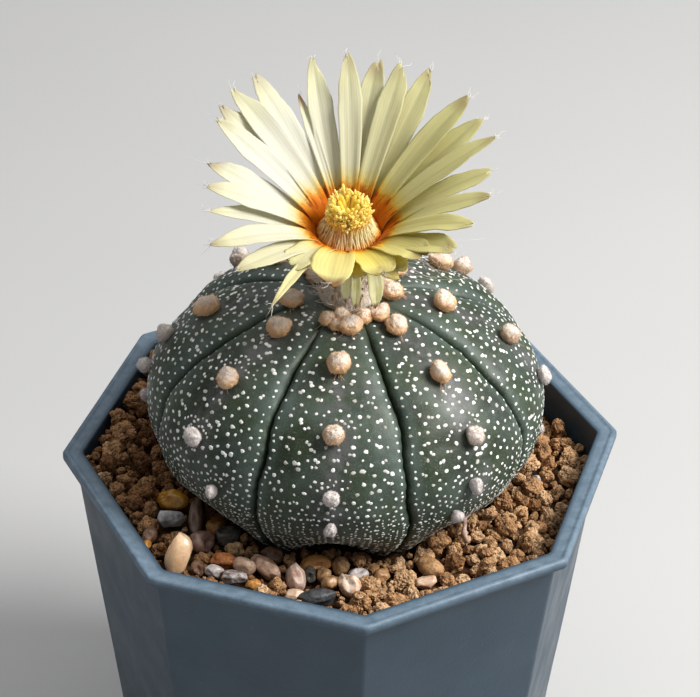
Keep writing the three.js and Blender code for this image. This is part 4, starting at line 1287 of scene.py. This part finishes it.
# How each stone looks: dark and light colour, size of the marks, roughness, relief, stretch and specks.
STONES = {
    "amber": ((0.20, 0.07, 0.006), (0.56, 0.27, 0.030), 4, 0.22),
    "quartz": ((0.22, 0.21, 0.22), (0.60, 0.58, 0.59), 2.2, 0.4, 0.15),
    "tall_cream": ((0.74, 0.42, 0.21), (0.94, 0.70, 0.46), 7, 0.34),
    "long_brown": ((0.11, 0.06, 0.04), (0.24, 0.15, 0.10), 3, 0.5),
    "round_amber": ((0.16, 0.06, 0.010), (0.40, 0.19, 0.035), 3, 0.28),
    "pink": ((0.14, 0.07, 0.05), (0.36, 0.22, 0.17), 3, 0.3),
    "rust": ((0.18, 0.05, 0.015), (0.50, 0.17, 0.035), 2, 0.5, 0.25),
    "long_pink": ((0.34, 0.16, 0.09), (0.76, 0.52, 0.38), 1.6, 0.35, 0.03, None, (0.24, 0.11, 0.07)),
    "striped_orange": ((0.28, 0.09, 0.02), (0.70, 0.35, 0.11), 1.4, 0.35, 0.03, (0.25, 1, 1.4)),
    "rose": ((0.36, 0.17, 0.11), (0.78, 0.62, 0.52), 1.8, 0.35, 0.03, (1, 1, 0.4)),
    "small_tan": ((0.22, 0.11, 0.04), (0.50, 0.31, 0.14), 1.2, 0.5, 0.25),
    "cream": ((0.50, 0.24, 0.12), (0.88, 0.74, 0.60), 1.6, 0.35),
    "black": ((0.012, 0.013, 0.015), (0.06, 0.065, 0.07), 1.6, 0.5, 0.2),
    "long_tan": ((0.26, 0.12, 0.04), (0.50, 0.28, 0.12), 1.8, 0.65, 0.3),
}


# Small stones among the granules: look, place (x, y), half sizes (long, wide, high) and turn.
SMALL_STONES = [
    ("tan", -5.2, -37.0, 1.6, 1.5, 1.6, 0),
    ("tan", -6.0, -34.6, 1.5, 1.4, 1.6, 30),
    ("grey", -8.6, -34.6, 1.6, 1.3, 1.6, 80),
    ("milky", 0.3, -35.2, 2.0, 1.4, 1.4, 10),
    ("peach", -11.8, -40.2, 2.1, 1.3, 1.2, -8),
    ("milky", -26.2, -34.2, 1.9, 1.2, 1.2, -20),
    ("mottled", -22.6, -36.2, 2.6, 1.6, 1.4, -14),
    ("peach", -20.6, -33.0, 2.3, 1.7, 1.8, -30),
    ("orange", -18.9, -38.2, 1.7, 1.2, 1.2, -12),
    ("brown", -29.2, -33.4, 1.7, 1.3, 1.6, 80),
    ("brown", -37.8, -24.2, 2.0, 1.3, 1.4, 60),
    ("orange", -38.6, -27.0, 1.6, 1.0, 1.2, 70),
    ("peach", 12.6, -37.4, 2.4, 1.5, 1.3, 10),
    ("milky", 37.4, -7.4, 1.0, 0.9, 1.4, 0),
    ("grey", -23.4, -23.6, 2.6, 2.2, 1.9, 20),
    ("tan", 4.6, -35.6, 1.8, 1.4, 1.4, 40),
    ("brown", -15.4, -29.8, 2.4, 1.8, 1.7, 0),
]
SMALL_LOOKS = {
    "tan": ((0.26, 0.13, 0.055), (0.48, 0.28, 0.13), 1.6, 0.4),
    "grey": ((0.035, 0.032, 0.028), (0.13, 0.12, 0.105), 2, 0.35),
    "milky": ((0.34, 0.29, 0.28), (0.62, 0.56, 0.53), 1.5, 0.35),
    "peach": ((0.44, 0.27, 0.17), (0.66, 0.47, 0.33), 1.8, 0.4),
    "mottled": ((0.07, 0.04, 0.03), (0.55, 0.48, 0.46), 0.8, 0.4, 0.2),
    "orange": ((0.30, 0.10, 0.015), (0.66, 0.32, 0.07), 1, 0.45),
    "brown": ((0.09, 0.04, 0.02), (0.22, 0.12, 0.07), 2, 0.4),
}


# Bends of the rootlet, from the stem outwards.
ROOTLET = [(24.4, -18.6, 87.0), (21.8, -20.6, 88.2), (20.4, -23.2, 87.2), (21.7, -26.4, 85.0)]


def worn_stone(sphere, seed, angular):
    """A stone of half size 1: rounded by water, or with flat broken faces."""
    points = sphere.points
    if angular:
        draw = np.random.default_rng(seed + 300)
        planes = unit(draw.normal(size=(11, 3)))
        reach = 0.72 + 0.16 * draw.random(11)
        facing_share = np.maximum(points @ planes.T, 0.02)
        cut = np.minimum((reach / facing_share).min(axis=1), 1.0)
        return points * (cut * (1 + 0.035 * rough(points, 0.5, 3, seed)))[:, None]
    draw = np.random.default_rng(seed + 500)
    planes = unit(draw.normal(size=(7, 3)))
    beyond = np.maximum(points @ planes.T - 0.76 - 0.10 * draw.random(7), 0).sum(axis=1)
    swell = 1 - 1.05 * beyond + 0.13 * rough(points, 1.2, 2, seed) + 0.012 * rough(points, 0.3, 3, seed)
    return points * swell[:, None]


def make_pebbles():
    """Stones where the model's pebbles lie, and small ones among the granules; returns their footprints."""
    prints = []
    sphere = ball(4)
    for index, (name, look) in enumerate(STONES.items()):
        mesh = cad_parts["pebble_" + name].data
        corners = np.zeros(len(mesh.vertices) * 3, np.float32)
        mesh.vertices.foreach_get("co", corners)
        corners = np.unique(np.round(corners.reshape(-1, 3) / MM, 3), axis=0)
        centre = corners.mean(axis=0)
        axes = np.linalg.svd(corners - centre, full_matrices=False)[2]
        if np.linalg.det(axes) < 0:
            axes[2] = -axes[2]
        local = (corners - centre) @ axes.T
        half = (local.max(axis=0) - local.min(axis=0)) / 2
        form = worn_stone(sphere, index, name in ("quartz", "rose"))
        shape = Shape((form * half) @ axes + centre, sphere.faces)
        make_piece("stone_" + name, shape, stone_material(name, *look), "stone_" + name, "pebble_" + name)
        flat = axes[0] * [1, 1, 0]
        short = float(min(half[0], half[1]))
        for step in (-1, 0, 1):
            spot = centre + flat * step * max(0.0, half[0] - short)
            prints.append((spot[0], spot[1], short))
    looks = {name: [] for name in SMALL_LOOKS}
    for index, (look, x, y, long, wide, high, turn) in enumerate(SMALL_STONES):
        form = worn_stone(sphere, index + 50, look in ("peach", "mottled"))
        level = float(mix_level(x, y)) + high * 0.55
        place = Matrix.Translation((x, y, level)) @ Matrix.Rotation(math.radians(turn), 4, "Z")
        looks[look].append(Shape(form * [long, wide, high], sphere.faces).moved(place))
        prints.append((x, y, (long + wide) / 2))
    prints += [(x, y, 0.3) for x, y, _ in ROOTLET[1:]]
    for name, shapes in looks.items():
        material = stone_material("small_" + name, *SMALL_LOOKS[name])
        make_piece("small_stones_" + name, merged(shapes), material, "granules", "potting_mix")
    return prints


def make_rootlet():
    """A dry pinkish root that pokes out of the mix on the right."""
    share = np.linspace(0, 1, 26)[:, None]
    ends = np.array(ROOTLET)
    weights = [(1 - share) ** 3, 3 * share * (1 - share) ** 2, 3 * share ** 2 * (1 - share), share ** 3]
    path = sum(weight * end for weight, end in zip(weights, ends))
    way = share[:, 0]
    path = path + 0.12 * np.stack([np.sin(way * 21), np.cos(way * 17), np.sin(way * 13)], axis=1)
    swell = 0.48 + 0.08 * np.sin(way * 25)
    swell[-1] = 0.2
    material = stone_material("rootlet", (0.34, 0.20, 0.15), (0.62, 0.45, 0.38), 1.2, 0.7, 0.15)
    make_piece("rootlet", threads(path[None], swell, 10), material, "granules", "potting_mix")


# ---- Flower ----

LEAN_AXIS = Vector(polar(1.0, FLOWER_LEAN_AZIMUTH + 90, 0.0))
FLOWER = (
    Matrix.Translation(FLOWER_BASE)
    @ Matrix.Rotation(math.radians(FLOWER_LEAN), 4, LEAN_AXIS)
    @ Matrix.Rotation(math.radians(FLOWER_TURN), 4, "Z")
)


def petal_half_width(along, root_share, blunt):
    """Half width as a share of the widest: narrow at the root, widest past the middle, small at the tip."""
    rising = root_share + (1 - root_share) * smooth(along, -0.25, 0.66)
    start = 0.6 + 0.18 * blunt
    past = np.clip((along - start) / (1 - start), 0, 1)
    end = 0.02 + 0.3 * blunt
    return rising * (end + (1 - end) * (1 - past ** (1.55 + 1.2 * blunt)) ** (0.85 - 0.25 * blunt))


def petal(row, layer, start_rise, scorch, draw):
    azimuth, length, tip_rise, share, blunt = row
    root_radius, root_height = PETAL_LAYERS[layer]
    columns = 17
    along = np.linspace(0, 1, 56) ** 0.92
    rise = np.radians(start_rise + (tip_rise - start_rise) * along ** 0.7)
    step = length * np.diff(along)
    radius = root_radius + np.concatenate([[0], np.cumsum(step * np.cos(rise[:-1]))])
    height = root_height + np.concatenate([[0], np.cumsum(step * np.sin(rise[:-1]))])
    if start_rise > 0:
        bowl = np.array(BOWL_PATHS[layer] + [PETAL_LAYERS[layer]])
        share_down = np.linspace(0, 1, 11)[:-1]
        stretch = np.linspace(0, 1, len(bowl))
        radius = np.concatenate([np.interp(share_down, stretch, bowl[:, 0]), radius])
        height = np.concatenate([np.interp(share_down, stretch, bowl[:, 1]), height])
        along = np.concatenate([(share_down - 1) * BOWL_DEPTH / length, along])
    stations = len(along)
    outer_share = np.maximum(along, 0)
    sway = (draw.random() - 0.5) * 1.6
    bend = azimuth + np.degrees(sway * outer_share ** 2 / 20)
    centre = polar(radius, bend, height)
    sideways = polar(np.ones(stations), bend + 90, 0)
    growing = unit(np.gradient(centre, axis=0))
    normal = np.cross(growing, sideways)
    twist = np.radians((draw.random() - 0.5) * 24) * outer_share ** 1.3
    turned = sideways * np.cos(twist)[:, None] + normal * np.sin(twist)[:, None]
    lifted = normal * np.cos(twist)[:, None] - sideways * np.sin(twist)[:, None]
    root_share = 0.58 + 0.3 * smooth(blunt, 0.6, 1.0)
    half = np.maximum(PETAL_WIDTH / 2 * share * petal_half_width(outer_share, root_share, blunt), 0.05)
    across = np.linspace(1, -1, columns)
    phase = draw.random(6) * TURN_RADIANS
    edges = []
    for side in (0, 1):
        wavy = [noise.noise(Vector((value * 8, phase[side], side * 3.0))) for value in along]
        nicked = [noise.noise(Vector((value * 42, phase[side + 1], side * 5.0))) for value in along]
        frill = 0.12 * np.array(wavy) * smooth(along, 0.3, 0.8)
        frill = frill + 0.08 * np.array(nicked) * smooth(along, 0.55, 0.9)
        edges.append(half * (1 + frill))
    offset = np.where(across > 0, edges[0][:, None], edges[1][:, None]) * across
    jagged = [
        noise.noise(Vector((value * 1.9, phase[4], 0.5)))
        + 0.5 * noise.noise(Vector((value * 5, phase[5], 2.5)))
        for value in across
    ]
    ragged = np.array(jagged) - 0.25 * (1 - across ** 2)
    notch = (0.9 + 0.9 * blunt) * smooth(along, 0.76, 1.0)[:, None] * ragged
    cup = 0.20 * half[:, None] * across ** 2 * (1.3 - 0.75 * outer_share)[:, None]
    between_ends = (smooth(along, 0.02, 0.2) * smooth(1 - along, 0, 0.25))[:, None]
    groove = -0.20 * np.exp(-((across / 0.2) ** 2)) * between_ends
    before_tip = smooth(1 - along, 0.0, 0.8)[:, None]
    pleat = 0.10 * np.cos(across * math.pi * 2.6 + 0.6 * math.sin(phase[2])) * before_tip
    waves = np.sin(2 * math.pi * 1.6 * along + phase[3])[:, None]
    ruffle = 0.26 * (across ** 2) * waves * smooth(along, 0.35, 0.9)[:, None]
    settled = smooth(along * length, -1.5, 2.5)[:, None]
    level = (cup + groove + pleat) * settled + ruffle * half[:, None] / (PETAL_WIDTH / 2)
    thick = 0.13 + 0.26 * (1 - across ** 2) * (1 - 0.5 * outer_share)[:, None]
    thick = thick * np.minimum(1, half[:, None] / 0.5)
    flat = centre[:, None] + turned[:, None] * offset[..., None] + growing[:, None] * notch[..., None]
    top = flat + lifted[:, None] * (level + thick / 2)[..., None]
    under = flat + lifted[:, None] * (level - thick / 2)[..., None]
    rings = np.concatenate([top, under[:, ::-1]], axis=1)
    whole = np.concatenate([across, across[::-1]])
    from_front = (azimuth - SHADE_GOLD_AZIMUTH + 180) % FULL_TURN - 180
    return loft(
        rings,
        along=outer_share[:, None],
        across=whole[None, :],
        edge=np.abs(whole)[None, :],
        # cream is the painted highlight on the lit left petals.
        cream=np.clip(highlight_share(azimuth) + 0.14 * (draw.random() - 0.5), 0, 1),
        # The deeper yellow in front is a painted shade.
        gold=math.exp(-((from_front / SHADE_GOLD_SPREAD) ** 2)),
        inward=BOWL_DEPTH + length * along[:, None],
        under=np.repeat([0.0, 1.0], columns)[None, :],
        hanging=float(start_rise < 0),
        scorch=scorch,
    )


def highlight_share(azimuth):
    """Share of painted highlight: petals run from near white on the lit left of the flower to lemon on its
    right, and a painted shade turns them yellow in front.
    """
    return 0.30 + 0.72 * math.cos(math.radians(azimuth - HIGHLIGHT_AZIMUTH))


def make_corolla():
    draw = np.random.default_rng(33)
    blades = []
    for index, row in enumerate(PETALS):
        scorch = 1.0 if index in BROWN_TIPPED else 0.1 + 0.04 * (index * 7 % 11)
        blades.append(petal(row, index % 2, PETAL_START_RISE, scorch, draw))
    for row in HANGING_PETALS:
        blades.append(petal(row, 0, HANGING_START_RISE, 1.0, draw))
    make_piece("petals", merged(blades).moved(FLOWER), petal_material(), "petals", "corolla")
    make_tip_hairs(blades, draw)
    profile = [(5.5, TUBE_LENGTH + 0.3)]
    profile += [(radius, height) for height, radius in TUBE_PROFILE if TUBE_LENGTH < height < 17]
    profile += [CUP_LIP]
    rings = [polar(radius, np.arange(0, FULL_TURN, 5), height) for radius, height in profile + CUP_INSIDE]
    inside = len(CUP_INSIDE)
    depth = np.concatenate([np.ones(len(profile)), np.linspace(1, 0, inside)])[:, None]
    outer = np.concatenate([np.ones(len(profile) - 1), [0.6, 0.5, 0.15], np.zeros(inside - 2)])[:, None]
    cup = loft(rings, height=depth, outer=outer)
    make_piece("throat_cup", cup.moved(FLOWER), throat_material(), "petals", "corolla")


def make_tip_hairs(blades, draw):
    """Fine loose hairs at the tips of the petals."""
    paths = []
    for blade in blades:
        along = blade.marks["along"]
        tips = blade.points[along > 0.99]
        tip = tips.mean(axis=0)
        away = unit(tip - blade.points[np.abs(along - 0.8) < 0.02].mean(axis=0))
        for _ in range(draw.integers(2, 6)):
            foot = tips[draw.integers(len(tips))]
            way = unit(away + 0.6 * draw.normal(size=3))
            length = 0.9 + 2.2 * draw.random() ** 2
            curl = 0.35 * draw.normal(size=(3, 3))
            stations = [foot - away * 0.2, foot + way * length * 0.35 + curl[0] * 0.3]
            stations += [foot + way * length * 0.7 + curl[1] * 0.7, foot + way * length + curl[2]]
            paths.append(stations)
    loose = hairs(paths, [0.05, 0.04, 0.03, 0.012], 0.0)
    pale = ((0.0, (0.86, 0.82, 0.74)), (1.0, (0.86, 0.82, 0.74)))
    make_piece("tip_hairs", loose.moved(FLOWER), wool_material("tip_hair", pale, 0.0), "petals", "corolla")


def make_stamens():
    """Hundreds of fine filaments that lean in over the throat, each with an anther."""
    draw = np.random.default_rng(44)
    paths, heads = [], []
    anther = ball(2)
    share = np.linspace(0, 1, 9)[:, None]
    for foot_radius, foot_height, knee_radius, knee_height, tip_radius, tip_height, count in FILAMENT_ROWS:
        for index in range(count):
            azimuth = (index + draw.random()) * FULL_TURN / count
            lean = 26 * (draw.random() - 0.5)
            tip = polar(tip_radius + 0.22 * draw.normal(), azimuth + lean, tip_height + 0.5 * draw.normal())
            foot = polar(foot_radius + 0.12 * draw.normal(), azimuth, foot_height)
            knee = polar(knee_radius + 0.2 * draw.normal(), azimuth + lean * 0.4, knee_height)
            pull = 2 * knee - (foot + tip) / 2
            path = (1 - share) ** 2 * foot + 2 * share * (1 - share) * pull + share ** 2 * tip
            paths.append(path)
            outward = polar(1.0, azimuth, 0.0)
            onward = unit(path[-1] - path[-2])
            out = unit(outward * 0.4 + onward * 0.3 + 0.4 * draw.normal(size=3) + [0, 0, 0.5])
            size = 0.85 + 0.3 * draw.random()
            place = Matrix.Translation(tip + out * 0.3) @ facing(out, TURN_RADIANS * draw.random())
            heads.append(anther.moved(place @ Matrix.Diagonal((0.2 * size, 0.26 * size, 0.66 * size, 1))))
    filaments = threads(np.array(paths), np.linspace(0.115, 0.08, 9), 6)
    rings = [polar(radius, np.arange(0, FULL_TURN, 10), height) for radius, height in FILAMENT_CORE]
    ripple = 1 + 0.03 * draw.normal(size=(len(rings), 36, 1)) * [1, 1, 0]
    depth = np.linspace(0.0, 1.0, len(rings))[:, None]
    core = loft(np.array(rings) * ripple, along=depth)
    brush = merged([filaments, core]).moved(FLOWER)
    make_piece("filaments", brush, filament_material(), "stamens", "stamens")
    pollen = pollen_material("anthers", (1.0, 0.82, 0.22), (1.0, 0.95, 0.46))
    make_piece("anthers", merged(heads).moved(FLOWER), pollen, "stamens", "stamens")


def make_pistil():
    """The style and its upright stigma lobes."""
    draw = np.random.default_rng(55)
    paths = [polar(np.zeros(14), 0, np.linspace(13.7, 20.2, 14))]
    style = threads(np.array(paths), np.linspace(1.25, 0.95, 14), 14)
    lobes = []
    for lobe in range(STIGMA_LOBES):
        azimuth = (lobe + 0.4 * draw.random()) * FULL_TURN / STIGMA_LOBES
        share = np.linspace(0, 1, 14)
        reach = 0.5 + (1.15 + 0.35 * draw.random()) * share ** 1.2
        rise = 19.2 + (5.0 + 0.6 * draw.random()) * share
        lobes.append(polar(reach, azimuth + 8 * share, rise))
    shape = threads(np.array(lobes), 0.46 * np.sin(np.linspace(0.9, 2.7, 14)) + 0.1, 9)
    stigma = pollen_material("stigma", (0.96, 0.74, 0.10), (1.0, 0.88, 0.26))
    make_piece("stigma_lobes", merged([style, shape]).moved(FLOWER), stigma, "stigma", "pistil")


def tube_radius(height):
    return np.interp(height, *zip(*TUBE_PROFILE))


def bract(azimuth, height, length, width, draw):
    """A pointed scale that lies against the tube."""
    stations, columns = 12, 7
    along = np.linspace(0, 1, stations)
    reach = tube_radius(height + length * along) + 0.5 * along ** 1.6 + 0.5 * draw.random() * along ** 2
    centre = polar(reach, azimuth + 4 * draw.normal() * along, height + length * along)
    side = polar(np.ones(stations), azimuth + 90, 0)
    normal = np.cross(unit(np.gradient(centre, axis=0)), side)
    half = width / 2 * (1 - along ** 1.8) ** 0.8 + 0.04
    across = np.linspace(1, -1, columns)
    level = 0.25 * half[:, None] * across ** 2
    thick = 0.08 + 0.12 * (1 - across ** 2)
    flat = centre[:, None] + side[:, None] * (half[:, None] * across)[..., None]
    top = flat - normal[:, None] * (level - thick)[..., None]
    under = flat - normal[:, None] * (level + thick)[..., None]
    high = float(smooth(height, 7, 12))
    return loft(np.concatenate([under, top[:, ::-1]], axis=1)[:, ::-1], along=along[:, None], high=high)


def make_tube():
    """The woolly tube under the flower, with its scales and loose wool."""
    draw = np.random.default_rng(66)
    azimuth = np.arange(0, FULL_TURN, 4)
    heights = np.concatenate([[-1.6], np.linspace(-1, TUBE_LENGTH - 0.1, 40)])
    radii = tube_radius(heights)
    rings = np.array([polar(radius, azimuth, height) for radius, height in zip(radii, heights)])
    flat = rings.reshape(-1, 3)
    swell = 0.22 * rough(flat, 1.6, 3, 9.0) + 0.12 * rough(flat, 0.6, 2, 11.0)
    out = unit(flat * [1, 1, 0])
    rings = (flat + out * swell[:, None]).reshape(rings.shape)
    ramp = ((0.0, (0.99, 0.87, 0.77)), (0.5, (0.98, 0.84, 0.72)), (1.0, (0.80, 0.74, 0.50)))
    age = np.broadcast_to(np.linspace(0, 1, len(heights))[:, None], rings.shape[:2])
    tube = loft(rings, age=age)
    wool = wool_material("tube_wool", ramp, 0.3)
    make_piece("tube_skin", tube.moved(FLOWER), wool, "tube_wool", "flower_tube")
    scales = []
    for row in range(SCALE_ROWS):
        count = 6 + row
        for scale in range(count):
            turn = (scale + row * 0.5 + 0.25 * draw.random()) * FULL_TURN / count
            scales.append(bract(turn, 1.6 + row * 2.1, 3.2 + 0.3 * row, 1.1 + 0.2 * row, draw))
    make_piece("tube_scales", merged(scales).moved(FLOWER), scale_material(), "tube_wool", "flower_tube")
    foot_radius = 4.3 + 0.6 * draw.random(TUBE_HAIRS)
    foot_azimuth = FULL_TURN * draw.random(TUBE_HAIRS)
    feet = polar(foot_radius, foot_azimuth, -0.5 + 12 * draw.random(TUBE_HAIRS) ** 1.3)
    away = unit(feet * [1, 1, 0])
    length = (0.9 + 1.3 * draw.random(TUBE_HAIRS))[:, None]
    drift = draw.normal(size=(TUBE_HAIRS, 3)) * 0.6 + [0, 0, 0.5]
    stations = [feet - away * 0.3]
    for outward, astray in ((0.5, 0.3), (0.7, 0.8), (0.6, 1.3)):
        stations.append(feet + (away * outward + drift * astray) * length)
    loose = hairs(np.stack(stations, axis=1), [0.05, 0.045, 0.035, 0.015], 0.0)
    pale = ((0.0, (0.92, 0.82, 0.72)), (1.0, (0.92, 0.82, 0.72)))
    hair = wool_material("tube_hair", pale, 0.0)
    make_piece("tube_hairs", loose.moved(FLOWER), hair, "tube_wool", "flower_tube")
    wisps = []
    share = np.linspace(0, 1, 9)[:, None]
    for azimuth, height, reach, count in WISPS:
        for _ in range(count):
            turn = azimuth + 7 * draw.normal()
            foot = polar(tube_radius(height) - 0.2, turn, height + draw.normal())
            far = reach * (0.6 + 0.4 * draw.random())
            end = polar(far, turn + 8 * draw.normal(), height + 1.2 * draw.normal())
            bend = sum(
                np.sin(share * wave * math.pi) * draw.normal(size=3) * 1.3 / wave
                for wave in (1, 2, 3)
            )
            wisps.append(foot + (end - foot) * share + bend)
    cobweb = hairs(wisps, np.linspace(0.035, 0.012, 9), 0.0)
    make_piece("tube_wisps", cobweb.moved(FLOWER), hair, "tube_wool", "flower_tube")


# ---- Stage ----


def make_camera():
    data = bpy.data.cameras.new("camera")
    data.sensor_width = 36
    data.lens = CAMERA_LENS
    data.clip_start = 0.05
    data.clip_end = 20
    camera = bpy.data.objects.new("camera", data)
    bpy.context.scene.collection.objects.link(camera)
    level = math.cos(math.radians(CAMERA_ELEVATION))
    back = Vector(polar(level, CAMERA_AZIMUTH, math.sin(math.radians(CAMERA_ELEVATION))))
    turn = facing(back, math.radians(CAMERA_ROLL))
    camera.matrix_world = Matrix.Translation((CAMERA_TARGET + back * CAMERA_DISTANCE) * MM) @ turn
    bpy.context.scene.camera = camera


def add_light(kind, name, place, size, power, colour):
    data = bpy.data.lights.new(name, kind)
    if kind == "SUN":
        data.angle = size
    else:
        data.shape = "DISK"
        data.size = size
    data.energy = power
    data.color = colour
    light = bpy.data.objects.new(name, data)
    bpy.context.scene.collection.objects.link(light)
    light.location = place
    light.rotation_euler = (Vector(LIGHTS_AIM) - Vector(place)).to_track_quat("-Z", "Y").to_euler()


def make_stage():
    mesh = bpy.data.meshes.new("floor")
    corners = [(x * FLOOR_HALF, y * FLOOR_HALF, 0) for x, y in ((-1, -1), (1, -1), (1, 1), (-1, 1))]
    mesh.from_pydata(corners, [], [(0, 1, 2, 3)])
    mesh.materials.append(floor_material())
    floor = bpy.data.objects.new("floor", mesh)
    bpy.context.scene.collection.objects.link(floor)
    for light in LIGHTS:
        add_light(*light)
    world = bpy.data.worlds.new("studio")
    bpy.context.scene.world = world
    world.use_nodes = True
    background = world.node_tree.nodes["Background"]
    background.inputs["Color"].default_value = WORLD_COLOUR
    background.inputs["Strength"].default_value = WORLD_STRENGTH
    bpy.context.scene.view_settings.view_transform = "Standard"


# ---- The part ----

make_camera()
make_stage()
make_pot()
make_bed()
make_granules(make_pebbles())
make_rootlet()
make_skin()
make_flecks()
make_areoles()
make_tube()
make_corolla()
make_stamens()
make_pistil()
